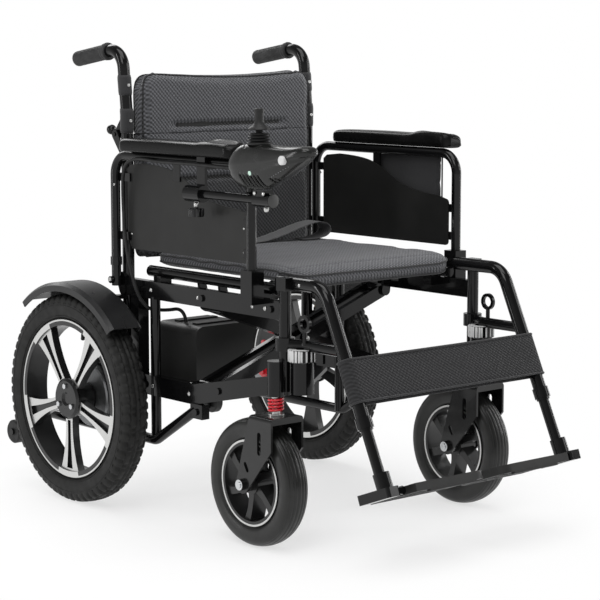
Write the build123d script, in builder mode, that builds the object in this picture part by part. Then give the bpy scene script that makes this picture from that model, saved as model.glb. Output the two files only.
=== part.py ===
"""Folding power wheelchair, in millimetres. +Z is up, the chair drives towards -Y and +X is the user's left.

Pieces that come in pairs are drawn once for the user's right side (-X) and mirrored for the left.
"""

import os
from math import cos, radians, sin, tan

from build123d import *

# ---------------------------------------------------------------- driving dimensions
AXLE_Y = 272.0  # rear axle, behind the middle of the chair
RUNNING_GAP = 0.3  # clearance between parts that move on each other

TYRE_D = 420.0
TYRE_W = 60.0
WHEEL_X = 307.0  # middle plane of a rear wheel
RIM_LIP_H = 8.0
RIM_W = 50.0
RIM_LIP_T = 3.0
RIM_SEAT_D = 302.0
RIM_WALL = 4.0
HUB_D = 76.0
HUB_CAP_D = 82.0
HUB_BOLT_R = 25.5
AXLE_D = 17.0
SPOKES = 5
SPOKE_T = 16.0
SPOKE_INSET = 4.0
CHANNEL_DEPTH = 6.0

CASTER_D = 238.0
CASTER_W = 52.0
CASTER_RIM_D = 160.0
CASTER_X = 262.0
STEM_TO_AXLE_Y = 564.0  # caster stem ahead of the rear axle
CASTER_TRAIL = 50.0
CASTER_SPOKES = 6
CASTER_AXLE_D = 12.0
STEM_D = 16.0
SUSPENSION_TRAVEL = 12.0
BARREL_D = 32.0
BARREL_Z = 285.0
BARREL_TOP = 322.0
CROWN_Z = 250.0
CROWN_T = 12.0

FRAME_X = 241.0  # middle plane of a side frame
BEAM_TOP = 455.0
BEAM_H = 34.0
BEAM_T = 16.0
RAIL_T = 18.0  # lower rail
REAR_POST = 25.0
MID_POST_D = 20.0
POST_D = 22.0
CANE_X = 234.0
CANE_D = 24.0
GRIP_D = 31.0
GRIP_L = 110.0
ARM_X = 262.0
ARM_TUBE_D = 19.0
ARM_PIN_D = 8.0
HANGER_X = 227.0
HANGER_D = 25.0
EXTENSION_D = 20.0
SEAT_RAIL_X = 216.0
SEAT_RAIL_D = 22.0
SEAT_RAIL_Z = 470.0
SEAT_TOP = 512.0
SEAT_HALF = 213.5
BACK_TOP_Z = 862.0

LOW_PIVOT_X, LOW_PIVOT_Z = 218.0, 262.0
HIGH_PIVOT_X, HIGH_PIVOT_Z = 207.0, 418.0
BRACE_T = 12.0
BRACE_H = 25.0
BRACE_PIN_D = 10.0
BRACE_BARREL = 56.0
EAR_T = 6.0

CANE_Y = AXLE_Y - 78.0
STEM_Y = AXLE_Y - STEM_TO_AXLE_Y
CASTER_Y = STEM_Y + CASTER_TRAIL
POST_Y = STEM_Y - 1.0
REAR_POST_Y = AXLE_Y - 124.0
MID_POST_Y = AXLE_Y - 175.0
BRACE_Y = AXLE_Y - 320.0
SEAT_REAR, SEAT_FRONT = AXLE_Y - 122.0, AXLE_Y - 557.0
BACK_PIVOT_Y, BACK_PIVOT_Z = AXLE_Y - 52.0, 736.0
CANE_SPLIT_Z = 739.0
CANE_TOP_Z = 905.0
CANE_RAKE = 13.0  # how far the cane leans back by its top bend
GRIP_DROP = 22.0  # how far the grip falls from that bend to its end
GRIP_END_Y = AXLE_Y + 82.0
ARM_PIVOT_Y, ARM_PIVOT_Z = CANE_Y + 2.0, 452.0
ARM_FRONT_Y = AXLE_Y - 496.0
ARM_TOP_Z = 698.0
SOCKET_FLOOR = 490.0

ANTITIP_X = 246.0
ANTITIP_TUBE_D = 20.0
ANTITIP_Y, ANTITIP_Z = AXLE_Y + 289.0, 92.0
ANTITIP_D = 50.0
ANTITIP_W = 21.0
ANTITIP_PIN_D = 8.0

MOTOR_D = 92.0
MOTOR_END_X = 182.0
GEARBOX_D = 126.0
GEARBOX_T = 18.0
GEARBOX_X = WHEEL_X - RIM_W / 2 - 2.0  # gearbox face beside the wheel
PLATE_X = GEARBOX_X - GEARBOX_T  # motor plate's outer face

FENDER_GAP = 18.0  # fender's lip edge line above the tread
FENDER_W = 76.0
FENDER_T = 3.0
FENDER_LIP = 12.0

RIM_LIP_D = RIM_SEAT_D + 2 * RIM_LIP_H
FENDER_R = TYRE_D / 2 + FENDER_GAP
AXLE_Z = TYRE_D / 2
CASTER_Z = CASTER_D / 2

parts = {}


def keep(part, name):
    """Label a finished piece and remember it for writing."""
    part.label = name
    parts[name] = part


def keep_pair(part, name):
    """Keep a piece of the right side and its mirror image on the left."""
    other = mirror(part, about=Plane.YZ)
    keep(part, name + "_right")
    keep(other, name + "_left")


def axle_plane(x, y, z):
    """Plane through a wheel's axis: local x runs along the axle, local y is the radius."""
    return Plane(origin=(x, y, z), x_dir=(1, 0, 0), z_dir=(0, -1, 0))


def lengthwise(x):
    """Upright fore-aft plane at x: local x is the chair's Y and local y its Z, facing +X."""
    return Plane(origin=(x, 0, 0), x_dir=(0, 1, 0), z_dir=(1, 0, 0))


def crosswise(y):
    """Upright plane across the chair at y: local x is X and local y is Z, facing the front."""
    return Plane(origin=(0, y, 0), x_dir=(1, 0, 0), z_dir=(0, -1, 0))


def profile(points, x_low, x_high, corner=0.0, mode=Mode.ADD):
    """Straight-edged outline in Y and Z, extruded from x_low to x_high."""
    with BuildSketch(lengthwise(x_low)) as outline:
        with BuildLine():
            Polyline(*points, close=True)
        make_face()
        if corner:
            fillet(outline.vertices(), corner)
    extrude(outline.sketch, amount=x_high - x_low, mode=mode)


def hull(plane, discs, thickness, mode=Mode.ADD):
    """Plate whose outline wraps discs given as (x, y, radius) on a plane."""
    with BuildSketch(plane) as outline:
        for x, y, radius in discs:
            with Locations((x, y)):
                Circle(radius)
        make_hull()
    extrude(outline.sketch, amount=thickness, mode=mode)


def block(low, high, mode=Mode.ADD):
    """Rectangular bar between two opposite corners."""
    with BuildSketch(Plane(origin=(0, 0, low[2]))) as outline:
        with Locations(((low[0] + high[0]) / 2, (low[1] + high[1]) / 2)):
            Rectangle(high[0] - low[0], high[1] - low[1])
    extrude(outline.sketch, amount=high[2] - low[2], mode=mode)


def tube(points, diameter, bend=None):
    """Round bar swept along straight runs joined by arcs, added to the part being built."""
    with BuildLine() as route:
        if bend is None:
            Polyline(*points)
        else:
            FilletPolyline(*points, radius=bend)
    with BuildSketch(Plane(origin=route.line @ 0, z_dir=route.line % 0)) as section:
        Circle(diameter / 2)
    sweep(sections=section.sketch, path=route.line)


def rod(centre, diameter, length, axis=(0, 0, 1)):
    """Cylinder of a length centred on a point, added to the part being built."""
    base = Vector(*centre) - Vector(*axis).normalized() * (length / 2)
    with BuildSketch(Plane(origin=base, z_dir=axis)) as section:
        Circle(diameter / 2)
    extrude(section.sketch, amount=length)


def bore(centre, diameter, length, axis=(0, 0, 1)):
    """Round hole of a length centred on a point."""
    base = Vector(*centre) - Vector(*axis).normalized() * (length / 2)
    with BuildSketch(Plane(origin=base, z_dir=axis)) as section:
        Circle(diameter / 2)
    extrude(section.sketch, amount=length, mode=Mode.SUBTRACT)


# ---------------------------------------------------------------- rear wheels
def rear_tyre():
    half, crown = TYRE_W / 2, TYRE_D / 2
    bead, seat, lip = RIM_W / 2 - RIM_LIP_T - RUNNING_GAP, RIM_SEAT_D / 2 + RUNNING_GAP, RIM_LIP_D / 2 + 1.5
    low, middle, shoulder, edge = (lip + (crown - lip) * share for share in (0.18, 0.48, 0.82, 0.97))
    with BuildPart() as tyre:
        with BuildSketch(axle_plane(-WHEEL_X, AXLE_Y, AXLE_Z)):
            with BuildLine():
                Polyline((0, seat), (bead, seat), (bead, lip), (half * 0.93, low))
                ThreePointArc((half * 0.93, low), (half, middle), (half * 0.9, shoulder))
                Line((half * 0.9, shoulder), (half * 0.62, edge))
                ThreePointArc((half * 0.62, edge), (0, crown), (-half * 0.62, edge))
                Line((-half * 0.62, edge), (-half * 0.9, shoulder))
                ThreePointArc((-half * 0.9, shoulder), (-half, middle), (-half * 0.93, low))
                Polyline((-half * 0.93, low), (-bead, lip), (-bead, seat), (0, seat))
            make_face()
        revolve(axis=Axis((-WHEEL_X, AXLE_Y, AXLE_Z), (1, 0, 0)))
    keep_pair(tyre.part, "rear_tyre")


def spoke_face(start, root, tip, rim, waist):
    """A spoke's outline from the hub outwards: narrow at the root and flared at the rim."""
    with BuildSketch(mode=Mode.PRIVATE) as face:
        with BuildLine():
            ThreePointArc((start, root), (start + (rim - start) * 0.62, waist), (rim, tip))
            Line((rim, tip), (rim, -tip))
            ThreePointArc((rim, -tip), (start + (rim - start) * 0.62, -waist), (start, -root))
            Line((start, -root), (start, root))
        make_face()
    return face.sketch


def rear_rim():
    half, barrel = RIM_W / 2, RIM_SEAT_D / 2 - RIM_WALL
    face_x = -WHEEL_X - half + SPOKE_INSET
    spoke = spoke_face(HUB_D / 2 - 6, 12.0, 31.0, barrel + 1.0, 17.0)
    channel = spoke_face(HUB_D / 2 + 6, 5.0, 9.5, barrel - 5.0, 6.0)
    with BuildPart() as rim:
        with BuildSketch(axle_plane(-WHEEL_X, AXLE_Y, AXLE_Z)):
            with BuildLine():
                Polyline(
                    (-half, barrel), (-half, RIM_LIP_D / 2), (-half + RIM_LIP_T, RIM_LIP_D / 2),
                    (-half + RIM_LIP_T, RIM_SEAT_D / 2), (half - RIM_LIP_T, RIM_SEAT_D / 2),
                    (half - RIM_LIP_T, RIM_LIP_D / 2), (half, RIM_LIP_D / 2), (half, barrel),
                    close=True,
                )
            make_face()
        revolve(axis=Axis((-WHEEL_X, AXLE_Y, AXLE_Z), (1, 0, 0)))
        face = Plane(origin=(face_x, AXLE_Y, AXLE_Z), x_dir=(0, -1, 0), z_dir=(-1, 0, 0))
        with BuildSketch(face):
            Circle(HUB_D / 2)
            with PolarLocations(0, SPOKES, start_angle=-90):
                add(spoke)
        extrude(amount=-SPOKE_T)
        with BuildSketch(face):
            with PolarLocations(0, SPOKES, start_angle=-90):
                add(channel)
        extrude(amount=-CHANNEL_DEPTH, mode=Mode.SUBTRACT)
        rod((-WHEEL_X + 1.0, AXLE_Y, AXLE_Z), HUB_D * 0.72, 2 * (half - SPOKE_INSET + 1), (1, 0, 0))
        bore((-WHEEL_X, AXLE_Y, AXLE_Z), AXLE_D + 2 * RUNNING_GAP, 2 * RIM_W, (1, 0, 0))
    keep_pair(rim.part, "rear_rim")


def hub_cap():
    radius, thick, dish = HUB_CAP_D / 2, 8.0, 14.0
    seat_x = -WHEEL_X - RIM_W / 2 + SPOKE_INSET
    with BuildPart() as cap:
        with BuildSketch(axle_plane(seat_x, AXLE_Y, AXLE_Z)) as section:
            with BuildLine():
                Polyline(
                    (0, 0), (0, radius), (-thick * 0.5, radius), (-thick, radius - 5),
                    (-thick, dish), (-thick * 0.5, dish - 4), (-thick * 0.5, 0), close=True,
                )
            make_face()
        revolve(section.sketch, axis=Axis((seat_x, AXLE_Y, AXLE_Z), (1, 0, 0)))
        with BuildSketch(lengthwise(seat_x - thick)) as heads:
            with Locations((AXLE_Y, AXLE_Z)):
                with PolarLocations(HUB_BOLT_R, 3, start_angle=90):
                    RegularPolygon(5.5, 6)
        extrude(heads.sketch, amount=-4.0)
    keep_pair(cap.part, "hub_cap")


# ---------------------------------------------------------------- drive units
def motor():
    lead, step = 8.0, 3.0
    with BuildPart() as drive:
        with BuildSketch(axle_plane(0, AXLE_Y, AXLE_Z)) as section:
            with BuildLine():
                Polyline(
                    (-MOTOR_END_X, 0), (-MOTOR_END_X, MOTOR_D / 2 - lead),
                    (-MOTOR_END_X - lead, MOTOR_D / 2), (-PLATE_X, MOTOR_D / 2),
                    (-PLATE_X, GEARBOX_D / 2), (-GEARBOX_X + step, GEARBOX_D / 2),
                    (-GEARBOX_X, GEARBOX_D / 2 - step), (-GEARBOX_X, AXLE_D / 2),
                    (-WHEEL_X - lead, AXLE_D / 2), (-WHEEL_X - lead, 0), close=True,
                )
            make_face()
        revolve(section.sketch, axis=Axis((0, AXLE_Y, AXLE_Z), (1, 0, 0)))
        with BuildSketch(lengthwise(-PLATE_X + 16)) as bosses:
            with Locations((AXLE_Y, AXLE_Z)):
                with PolarLocations(MOTOR_D / 2 + 1, 4, start_angle=45):
                    Circle(6)
        extrude(bosses.sketch, amount=46)
    keep_pair(drive.part, "motor")


def clutch_lever():
    face_x = -MOTOR_END_X + RUNNING_GAP
    with BuildPart() as lever:
        hull(lengthwise(face_x), [(AXLE_Y, AXLE_Z, 13), (AXLE_Y, AXLE_Z + 52, 6)], 6)
        rod((face_x + 3, AXLE_Y, AXLE_Z + 62), 12, 6, (1, 0, 0))
        rod((face_x + 9, AXLE_Y, AXLE_Z), 16, 6, (1, 0, 0))
    keep_pair(lever.part, "clutch_lever")


# ---------------------------------------------------------------- fenders
def fender():
    half, wall = FENDER_W / 2, FENDER_T
    start, turn, crown = 47.0, 84.0, 8.0
    with BuildPart() as guard:
        plane = axle_plane(-WHEEL_X, AXLE_Y, AXLE_Z).rotated((start, 0, 0))
        with BuildSketch(plane) as section:
            with BuildLine():
                Polyline(
                    (-half, FENDER_R - FENDER_LIP), (-half, FENDER_R), (-half + crown, FENDER_R + 2 * wall),
                    (half - crown, FENDER_R + 2 * wall), (half, FENDER_R), (half, FENDER_R - FENDER_LIP),
                    (half - wall, FENDER_R - FENDER_LIP), (half - wall, FENDER_R - 1),
                    (half - crown - 1, FENDER_R + wall), (-half + crown + 1, FENDER_R + wall),
                    (-half + wall, FENDER_R - 1), (-half + wall, FENDER_R - FENDER_LIP), close=True,
                )
            make_face()
        revolve(
            section.sketch, axis=Axis((-WHEEL_X, AXLE_Y, AXLE_Z), (-1, 0, 0)), revolution_arc=turn
        )
    keep_pair(guard.part, "fender")


# ---------------------------------------------------------------- side frames
def motor_plate():
    """Plate that carries the drive unit from the lower rail and the cane's foot."""
    plane = lengthwise(-PLATE_X)
    discs = [(AXLE_Y, AXLE_Z, GEARBOX_D / 2 + 3), (REAR_POST_Y, 250, 19), (CANE_Y, 330, 14)]
    hull(plane, discs, PLATE_X - FRAME_X - RAIL_T / 2 + 1)
    bore((-PLATE_X, AXLE_Y, AXLE_Z), MOTOR_D + 2 * RUNNING_GAP, 60, (1, 0, 0))


def caster_barrel():
    """Upright barrel the caster stem slides in, with its domed cap and weld block."""
    centre = (-CASTER_X, STEM_Y)
    cap_top, cap_wall = 349.0, 3.0
    block((-CASTER_X + 4, STEM_Y - 10, BARREL_Z + 2), (-FRAME_X, STEM_Y + 22, BARREL_TOP - 3))
    rod((*centre, (BARREL_Z + cap_top) / 2), BARREL_D, cap_top - BARREL_Z)
    bore((*centre, (BARREL_Z + BARREL_TOP) / 2), STEM_D + 2 * RUNNING_GAP, BARREL_TOP - BARREL_Z + 2)
    cavity = cap_top - cap_wall - BARREL_TOP
    bore((*centre, BARREL_TOP + cavity / 2), BARREL_D - 2 * cap_wall + 1, cavity)


def brace_ears(x, z, root_x):
    """Two ears and a pin that a cross-brace barrel turns on."""
    for side in (-1, 1):
        y = BRACE_Y + side * (BRACE_BARREL / 2 + RUNNING_GAP + EAR_T / 2)
        hull(crosswise(y + EAR_T / 2), [(x, z, 11), (root_x, z, 9)], EAR_T)
    rod((x, BRACE_Y, z), BRACE_PIN_D, BRACE_BARREL + 2 * EAR_T, (0, 1, 0))


def back_hinge_ears():
    """Two cheeks behind the lower cane that carry the folding back's pin."""
    for x in (-CANE_X - CANE_D / 2, -CANE_X + CANE_D / 2 - 2.5):
        hull(lengthwise(x), [(BACK_PIVOT_Y, BACK_PIVOT_Z, 9), (CANE_Y + 4, 706, 8)], 2.5)
    rod((-CANE_X, BACK_PIVOT_Y, BACK_PIVOT_Z), ARM_PIN_D, CANE_D + 4, (1, 0, 0))


def side_frame():
    beam_low, x = BEAM_TOP - BEAM_H, -FRAME_X
    barrel_front = STEM_Y + 9.0
    with BuildPart() as frame:
        profile(
            [(CANE_Y, beam_low), (CANE_Y, BEAM_TOP), (POST_Y, BEAM_TOP), (POST_Y, beam_low)],
            x - BEAM_T / 2, x + BEAM_T / 2,
        )
        profile(
            [
                (REAR_POST_Y + REAR_POST / 2, 231), (REAR_POST_Y + REAR_POST / 2, 270), (-33, 270),
                (barrel_front, 320), (barrel_front, 286), (-33, 231),
            ],
            x - RAIL_T / 2, x + RAIL_T / 2,
        )
        half = REAR_POST / 2
        block((x - half, REAR_POST_Y - half, 236), (x + half, REAR_POST_Y + half, beam_low + 4))
        tube([(x, MID_POST_Y, 140), (x, MID_POST_Y, beam_low + 4)], MID_POST_D)
        tube([(x, POST_Y, BARREL_Z), (x, POST_Y, 474)], POST_D)
        tube([(-CANE_X, CANE_Y, 318), (-CANE_X, CANE_Y, CANE_SPLIT_Z - RUNNING_GAP)], CANE_D)
        motor_plate()
        caster_barrel()
        bore((x, POST_Y, 464), 14 + 2 * RUNNING_GAP, 22)
        # anti-tip tube, its drop leg and the wheel's pin
        tube(
            [
                (-ANTITIP_X, -42, 224), (-ANTITIP_X, 90, 143), (-ANTITIP_X, ANTITIP_Y, 143),
                (-ANTITIP_X, ANTITIP_Y, ANTITIP_Z - 12),
            ],
            ANTITIP_TUBE_D, 30,
        )
        block((-ANTITIP_X - 9, -66, 206), (-ANTITIP_X + 9, -30, 234))
        rod((-ANTITIP_X - 11, -48, 219), 13, 4, (1, 0, 0))
        pin_end = ANTITIP_X + ANTITIP_TUBE_D / 2 + ANTITIP_W + 2 * RUNNING_GAP
        rod((-(ANTITIP_X + pin_end) / 2, ANTITIP_Y, ANTITIP_Z), ANTITIP_PIN_D, pin_end - ANTITIP_X, (1, 0, 0))
        rod((-pin_end - 2, ANTITIP_Y, ANTITIP_Z), 14, 4, (1, 0, 0))
        # seat-rail saddles
        for y in (100, -200):
            block((x + BEAM_T / 2 - 1, y - 11, 440), (-SEAT_RAIL_X + 9, y + 11, SEAT_RAIL_Z - 5.5))
            bore((-SEAT_RAIL_X, y, SEAT_RAIL_Z), SEAT_RAIL_D + 2 * RUNNING_GAP, 30, (0, 1, 0))
        brace_ears(-LOW_PIVOT_X, LOW_PIVOT_Z, -FRAME_X + 2)
        back_hinge_ears()
        # armrest pivot tab and pin
        hull(lengthwise(-251.5), [(ARM_PIVOT_Y, ARM_PIVOT_Z, 14), (CANE_Y - 2, 430, 10)], 10)
        rod((-264, ARM_PIVOT_Y, ARM_PIVOT_Z), ARM_PIN_D, 26, (1, 0, 0))
        rod((-275, ARM_PIVOT_Y, ARM_PIVOT_Z), 14, 5, (1, 0, 0))
        # armrest front socket
        socket = 16
        block((-ARM_X - 13, ARM_FRONT_Y - socket, 445), (x - BEAM_T / 2 + 3, ARM_FRONT_Y + socket, 507))
        bore((-ARM_X, ARM_FRONT_Y, 500), ARM_TUBE_D + 2.6, 2 * (500 - SOCKET_FLOOR))
        # strut to the fender's inner lip
        block((-WHEEL_X + FENDER_W / 2, CANE_Y - 8, 413), (-FRAME_X, CANE_Y + 8, 421))
        # bolt heads on the beam and the rail
        for y, z, depth in ((130, 438, 0), (-60, 438, 0), (-262, 438, 0), (120, 250, 1), (-110, 267, 1)):
            face = x - BEAM_T / 2 - depth
            rod((face - 2, y, z), 13, 4, (1, 0, 0))
    keep_pair(frame.part, "side_frame")


def antitip_wheel():
    inner = ANTITIP_X + ANTITIP_TUBE_D / 2 + RUNNING_GAP
    centre = (-inner - ANTITIP_W / 2, ANTITIP_Y, ANTITIP_Z)
    with BuildPart() as wheel:
        rod(centre, ANTITIP_D, ANTITIP_W, (1, 0, 0))
        chamfer(wheel.edges().filter_by(GeomType.CIRCLE), 3)
        bore(centre, ANTITIP_PIN_D + 2 * RUNNING_GAP, ANTITIP_W + 2, (1, 0, 0))
    keep_pair(wheel.part, "antitip_wheel")


# ---------------------------------------------------------------- sprung casters
def caster_stem():
    centre = (-CASTER_X, STEM_Y)
    head_z = CROWN_Z - CROWN_T - RUNNING_GAP
    with BuildPart() as stem:
        rod((*centre, (head_z + BARREL_TOP + 9) / 2), STEM_D, BARREL_TOP + 9 - head_z)
        rod((*centre, head_z - 1.5), 24, 3)
        rod((*centre, CROWN_Z + RUNNING_GAP + 1.5), BARREL_D - 2, 3)
        rod((*centre, BARREL_TOP + RUNNING_GAP + 4), 24, 8)
    keep_pair(stem.part, "caster_stem")


def suspension_spring():
    wire, turns = 5.0, 4
    low, high = CROWN_Z + 4 + wire / 2, BARREL_Z - 1 - wire / 2
    with BuildPart() as spring:
        with BuildLine(Plane(origin=(-CASTER_X, STEM_Y, low))) as coil:
            Helix((high - low) / turns, high - low, 12.5)
        with BuildSketch(Plane(origin=coil.line @ 0, z_dir=coil.line % 0)) as section:
            RegularPolygon(wire / 2, 10)
        sweep(sections=section.sketch, path=coil.line, is_frenet=True)
    keep_pair(spring.part, "suspension_spring")


def caster_fork():
    cheek, top_half = 4.5, 31.5
    inner = CASTER_W / 2 + 8.0
    crown_low = CROWN_Z - CROWN_T
    with BuildPart() as fork:
        block(
            (-CASTER_X - inner - cheek, STEM_Y - top_half, crown_low),
            (-CASTER_X + inner + cheek, STEM_Y + top_half, CROWN_Z),
        )
        fillet(fork.edges().filter_by(Axis.Y).group_by(Axis.Z)[-1], 8)
        for x_low in (-CASTER_X - inner - cheek, -CASTER_X + inner):
            with BuildSketch(lengthwise(x_low)) as outline:
                with Locations((STEM_Y, (190 + crown_low + 4) / 2)):
                    Rectangle(2 * top_half, crown_low + 4 - 190)
                with Locations((CASTER_Y, CASTER_Z)):
                    Circle(17)
                make_hull()
                with Locations((STEM_Y + 2, 201)):
                    SlotOverall(42, 10, rotation=90, mode=Mode.SUBTRACT)
                with Locations((CASTER_Y - 12, CASTER_Z + 34)):
                    SlotOverall(20, 8, rotation=60, mode=Mode.SUBTRACT)
            extrude(outline.sketch, amount=cheek)
        bore((-CASTER_X, STEM_Y, CROWN_Z), STEM_D + 2 * RUNNING_GAP, 4 * CROWN_T)
        rod((-CASTER_X, CASTER_Y, CASTER_Z), CASTER_AXLE_D, 2 * (inner + cheek + 10), (1, 0, 0))
        for side in (-1, 1):
            rod((-CASTER_X + side * (inner + cheek + 4), CASTER_Y, CASTER_Z), 21, 8, (1, 0, 0))
    keep_pair(fork.part, "caster_fork")


def swept_blade(root, tip):
    """Outline of a caster spoke that leans round as it runs outwards and widens at the rim."""
    span = tip - root
    with BuildSketch(mode=Mode.PRIVATE) as face:
        with BuildLine():
            ThreePointArc((root, 8), (root + span / 2, 9), (tip, 20))
            Line((tip, 20), (tip, 3))
            ThreePointArc((tip, 3), (root + span / 2, -4), (root, -8))
            Line((root, -8), (root, 8))
        make_face()
    return face.sketch


def caster_rim():
    lip, seat, wall = CASTER_RIM_D / 2, CASTER_RIM_D / 2 - 5, 4.0
    half, hub, hub_half = 22.0, 21.0, 33.5
    face = 17.0
    blade = swept_blade(hub - 4, seat - wall - 0.5)
    with BuildPart() as rim:
        with BuildSketch(axle_plane(-CASTER_X, CASTER_Y, CASTER_Z)) as section:
            with BuildLine():
                Polyline(
                    (-half, seat - wall), (-half, lip), (-half + 2.5, lip), (-half + 2.5, seat),
                    (half - 2.5, seat), (half - 2.5, lip), (half, lip), (half, seat - wall), close=True,
                )
            make_face()
        revolve(section.sketch, axis=Axis((-CASTER_X, CASTER_Y, CASTER_Z), (1, 0, 0)))
        rod((-CASTER_X, CASTER_Y, CASTER_Z), 2 * hub, 2 * face + 4, (1, 0, 0))
        rod((-CASTER_X, CASTER_Y, CASTER_Z), hub + 8, 2 * hub_half, (1, 0, 0))
        with BuildSketch(lengthwise(-CASTER_X - face)) as blades:
            with Locations((CASTER_Y, CASTER_Z)):
                with PolarLocations(0, CASTER_SPOKES, start_angle=90):
                    add(blade)
        extrude(blades.sketch, amount=2 * face)
        bore((-CASTER_X, CASTER_Y, CASTER_Z), CASTER_AXLE_D + 2 * RUNNING_GAP, 3 * hub_half, (1, 0, 0))
    keep_pair(rim.part, "caster_rim")


def caster_tyre():
    half, crown = CASTER_W / 2, CASTER_D / 2
    lip, seat, bead = CASTER_RIM_D / 2, CASTER_RIM_D / 2 - 5, 19.5
    with BuildPart() as tyre:
        with BuildSketch(axle_plane(-CASTER_X, CASTER_Y, CASTER_Z)) as section:
            with BuildLine():
                Polyline((-bead, seat), (bead, seat), (bead, lip + 1), (half - 2, lip + 8))
                ThreePointArc((half - 2, lip + 8), (half, crown - 18), (half - 6, crown - 5))
                ThreePointArc((half - 6, crown - 5), (0, crown), (-half + 6, crown - 5))
                ThreePointArc((-half + 6, crown - 5), (-half, crown - 18), (-half + 2, lip + 8))
                Polyline((-half + 2, lip + 8), (-bead, lip + 1), (-bead, seat))
            make_face()
        revolve(section.sketch, axis=Axis((-CASTER_X, CASTER_Y, CASTER_Z), (1, 0, 0)))
    keep_pair(tyre.part, "caster_tyre")


# ---------------------------------------------------------------- leg rests
HANGER_BEND = (-HANGER_X, ARM_FRONT_Y - 159, 487.0)
HANGER_SLOPE = radians(25.1)  # the hanger's lean from upright
HANGER_END_Z = 247.0
EXTENSION_END_Z = 152.0
EXTENSION_INSIDE = 100.0
PLATE_TILT = 21.0
HINGE = (-204.0, -528.0, 137.0)
STRAP_LOW_Z = 290.0
STRAP_H = 82.0


def on_hanger(z):
    """Point on the hanger's sloping centre line at a height."""
    x, y, top = HANGER_BEND
    return (x, y - (top - z) * tan(HANGER_SLOPE), z)


def down_hanger():
    """Direction along the hanger towards the footplate."""
    return Vector(0, -sin(HANGER_SLOPE), -cos(HANGER_SLOPE))


def leg_hanger():
    seat_y, lower_z = -262.0, 378.0
    with BuildPart() as hanger:
        tube([(-HANGER_X, seat_y, HANGER_BEND[2]), HANGER_BEND, on_hanger(HANGER_END_Z)], HANGER_D, 45)
        # saddle and peg over the front post
        block((-FRAME_X - 10, POST_Y - 13, 474 + RUNNING_GAP), (-HANGER_X, POST_Y + 13, 498))
        rod((-FRAME_X, POST_Y, 466), 14, 20)
        # lower stay, its collar round the front post and the swing-away release ring
        tube([(-FRAME_X, POST_Y - 8, lower_z), (-HANGER_X, POST_Y - 40, lower_z), on_hanger(lower_z)], 20, 20)
        rod((-FRAME_X, POST_Y, lower_z), POST_D + 14, 24)
        bore((-FRAME_X, POST_Y, lower_z), POST_D + 2 * RUNNING_GAP, 60)
        ring = (-FRAME_X + 6, POST_Y - 47, 418)
        with BuildSketch(lengthwise(ring[0] - 3)) as loop:
            with Locations((ring[1], ring[2])):
                Circle(16)
                Circle(10, mode=Mode.SUBTRACT)
        extrude(loop.sketch, amount=6)
        rod((ring[0], ring[1], 393), 8, 24)
        # plastic stop under the stay
        stop = (-HANGER_X - 3, POST_Y - 35)
        rod((*stop, 320), 42, 60)
        rod((*stop, 360), 50, 22)
        with BuildSketch(Plane(origin=(*stop, 350))) as flutes:
            with PolarLocations(25, 16):
                Circle(2)
        extrude(flutes.sketch, amount=20, mode=Mode.SUBTRACT)
        # bore that the extension slides in, and the clamp screw at its mouth
        depth = EXTENSION_INSIDE + 10
        mouth = Vector(*on_hanger(HANGER_END_Z))
        bore(mouth - down_hanger() * (depth / 2), EXTENSION_D + 2 * RUNNING_GAP, depth + 40, down_hanger())
        rod(mouth - down_hanger() * 14, HANGER_D + 5, 20, down_hanger())
        bore(mouth - down_hanger() * 14, EXTENSION_D + 2 * RUNNING_GAP, 30, down_hanger())
    keep_pair(hanger.part, "leg_hanger")


def plate_frame(along=0.0, up=0.0):
    """Plane lying in a footplate: local x across the chair, local y towards its raised front edge."""
    tilt = radians(PLATE_TILT)
    forward, normal = Vector(0, -cos(tilt), sin(tilt)), Vector(0, sin(tilt), cos(tilt))
    origin = Vector(*HINGE) + forward * along + normal * up
    return Plane(origin=origin, x_dir=(-1, 0, 0), z_dir=tuple(normal))


def plate_axis():
    tilt = radians(PLATE_TILT)
    return (0, -cos(tilt), sin(tilt))


def plate_point(along):
    tilt = radians(PLATE_TILT)
    return tuple(Vector(*HINGE) + Vector(0, -cos(tilt), sin(tilt)) * along)


KNUCKLE = 50.0
KNUCKLE_D = 15.0
PLATE_PIN_D = 8.0


def footrest_tube():
    top = Vector(*on_hanger(HANGER_END_Z)) - down_hanger() * EXTENSION_INSIDE
    with BuildPart() as extension:
        tube([tuple(top), on_hanger(EXTENSION_END_Z)], EXTENSION_D)
        # bracket under the tube with its pair of hinge knuckles
        with BuildSketch(plate_frame(up=-9)) as bracket:
            with Locations((HANGER_X + HINGE[0] + 6, 6)):
                RectangleRounded(30, 84, 6)
        extrude(bracket.sketch, amount=18)
        for side in (-1, 1):
            along = side * (KNUCKLE / 2 + RUNNING_GAP + 6)
            rod(plate_point(along), KNUCKLE_D, 12, plate_axis())
            with BuildSketch(plate_frame(along=along, up=-5)) as web:
                with Locations((10, 0)):
                    Rectangle(16, 12)
            extrude(web.sketch, amount=10)
        rod(plate_point(0), PLATE_PIN_D, KNUCKLE + 24, plate_axis())
        rod(Vector(*on_hanger(EXTENSION_END_Z)) + Vector(0, 2, 12), 30, 30, tuple(down_hanger()))
    keep_pair(extension.part, "footrest_tube")


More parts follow.
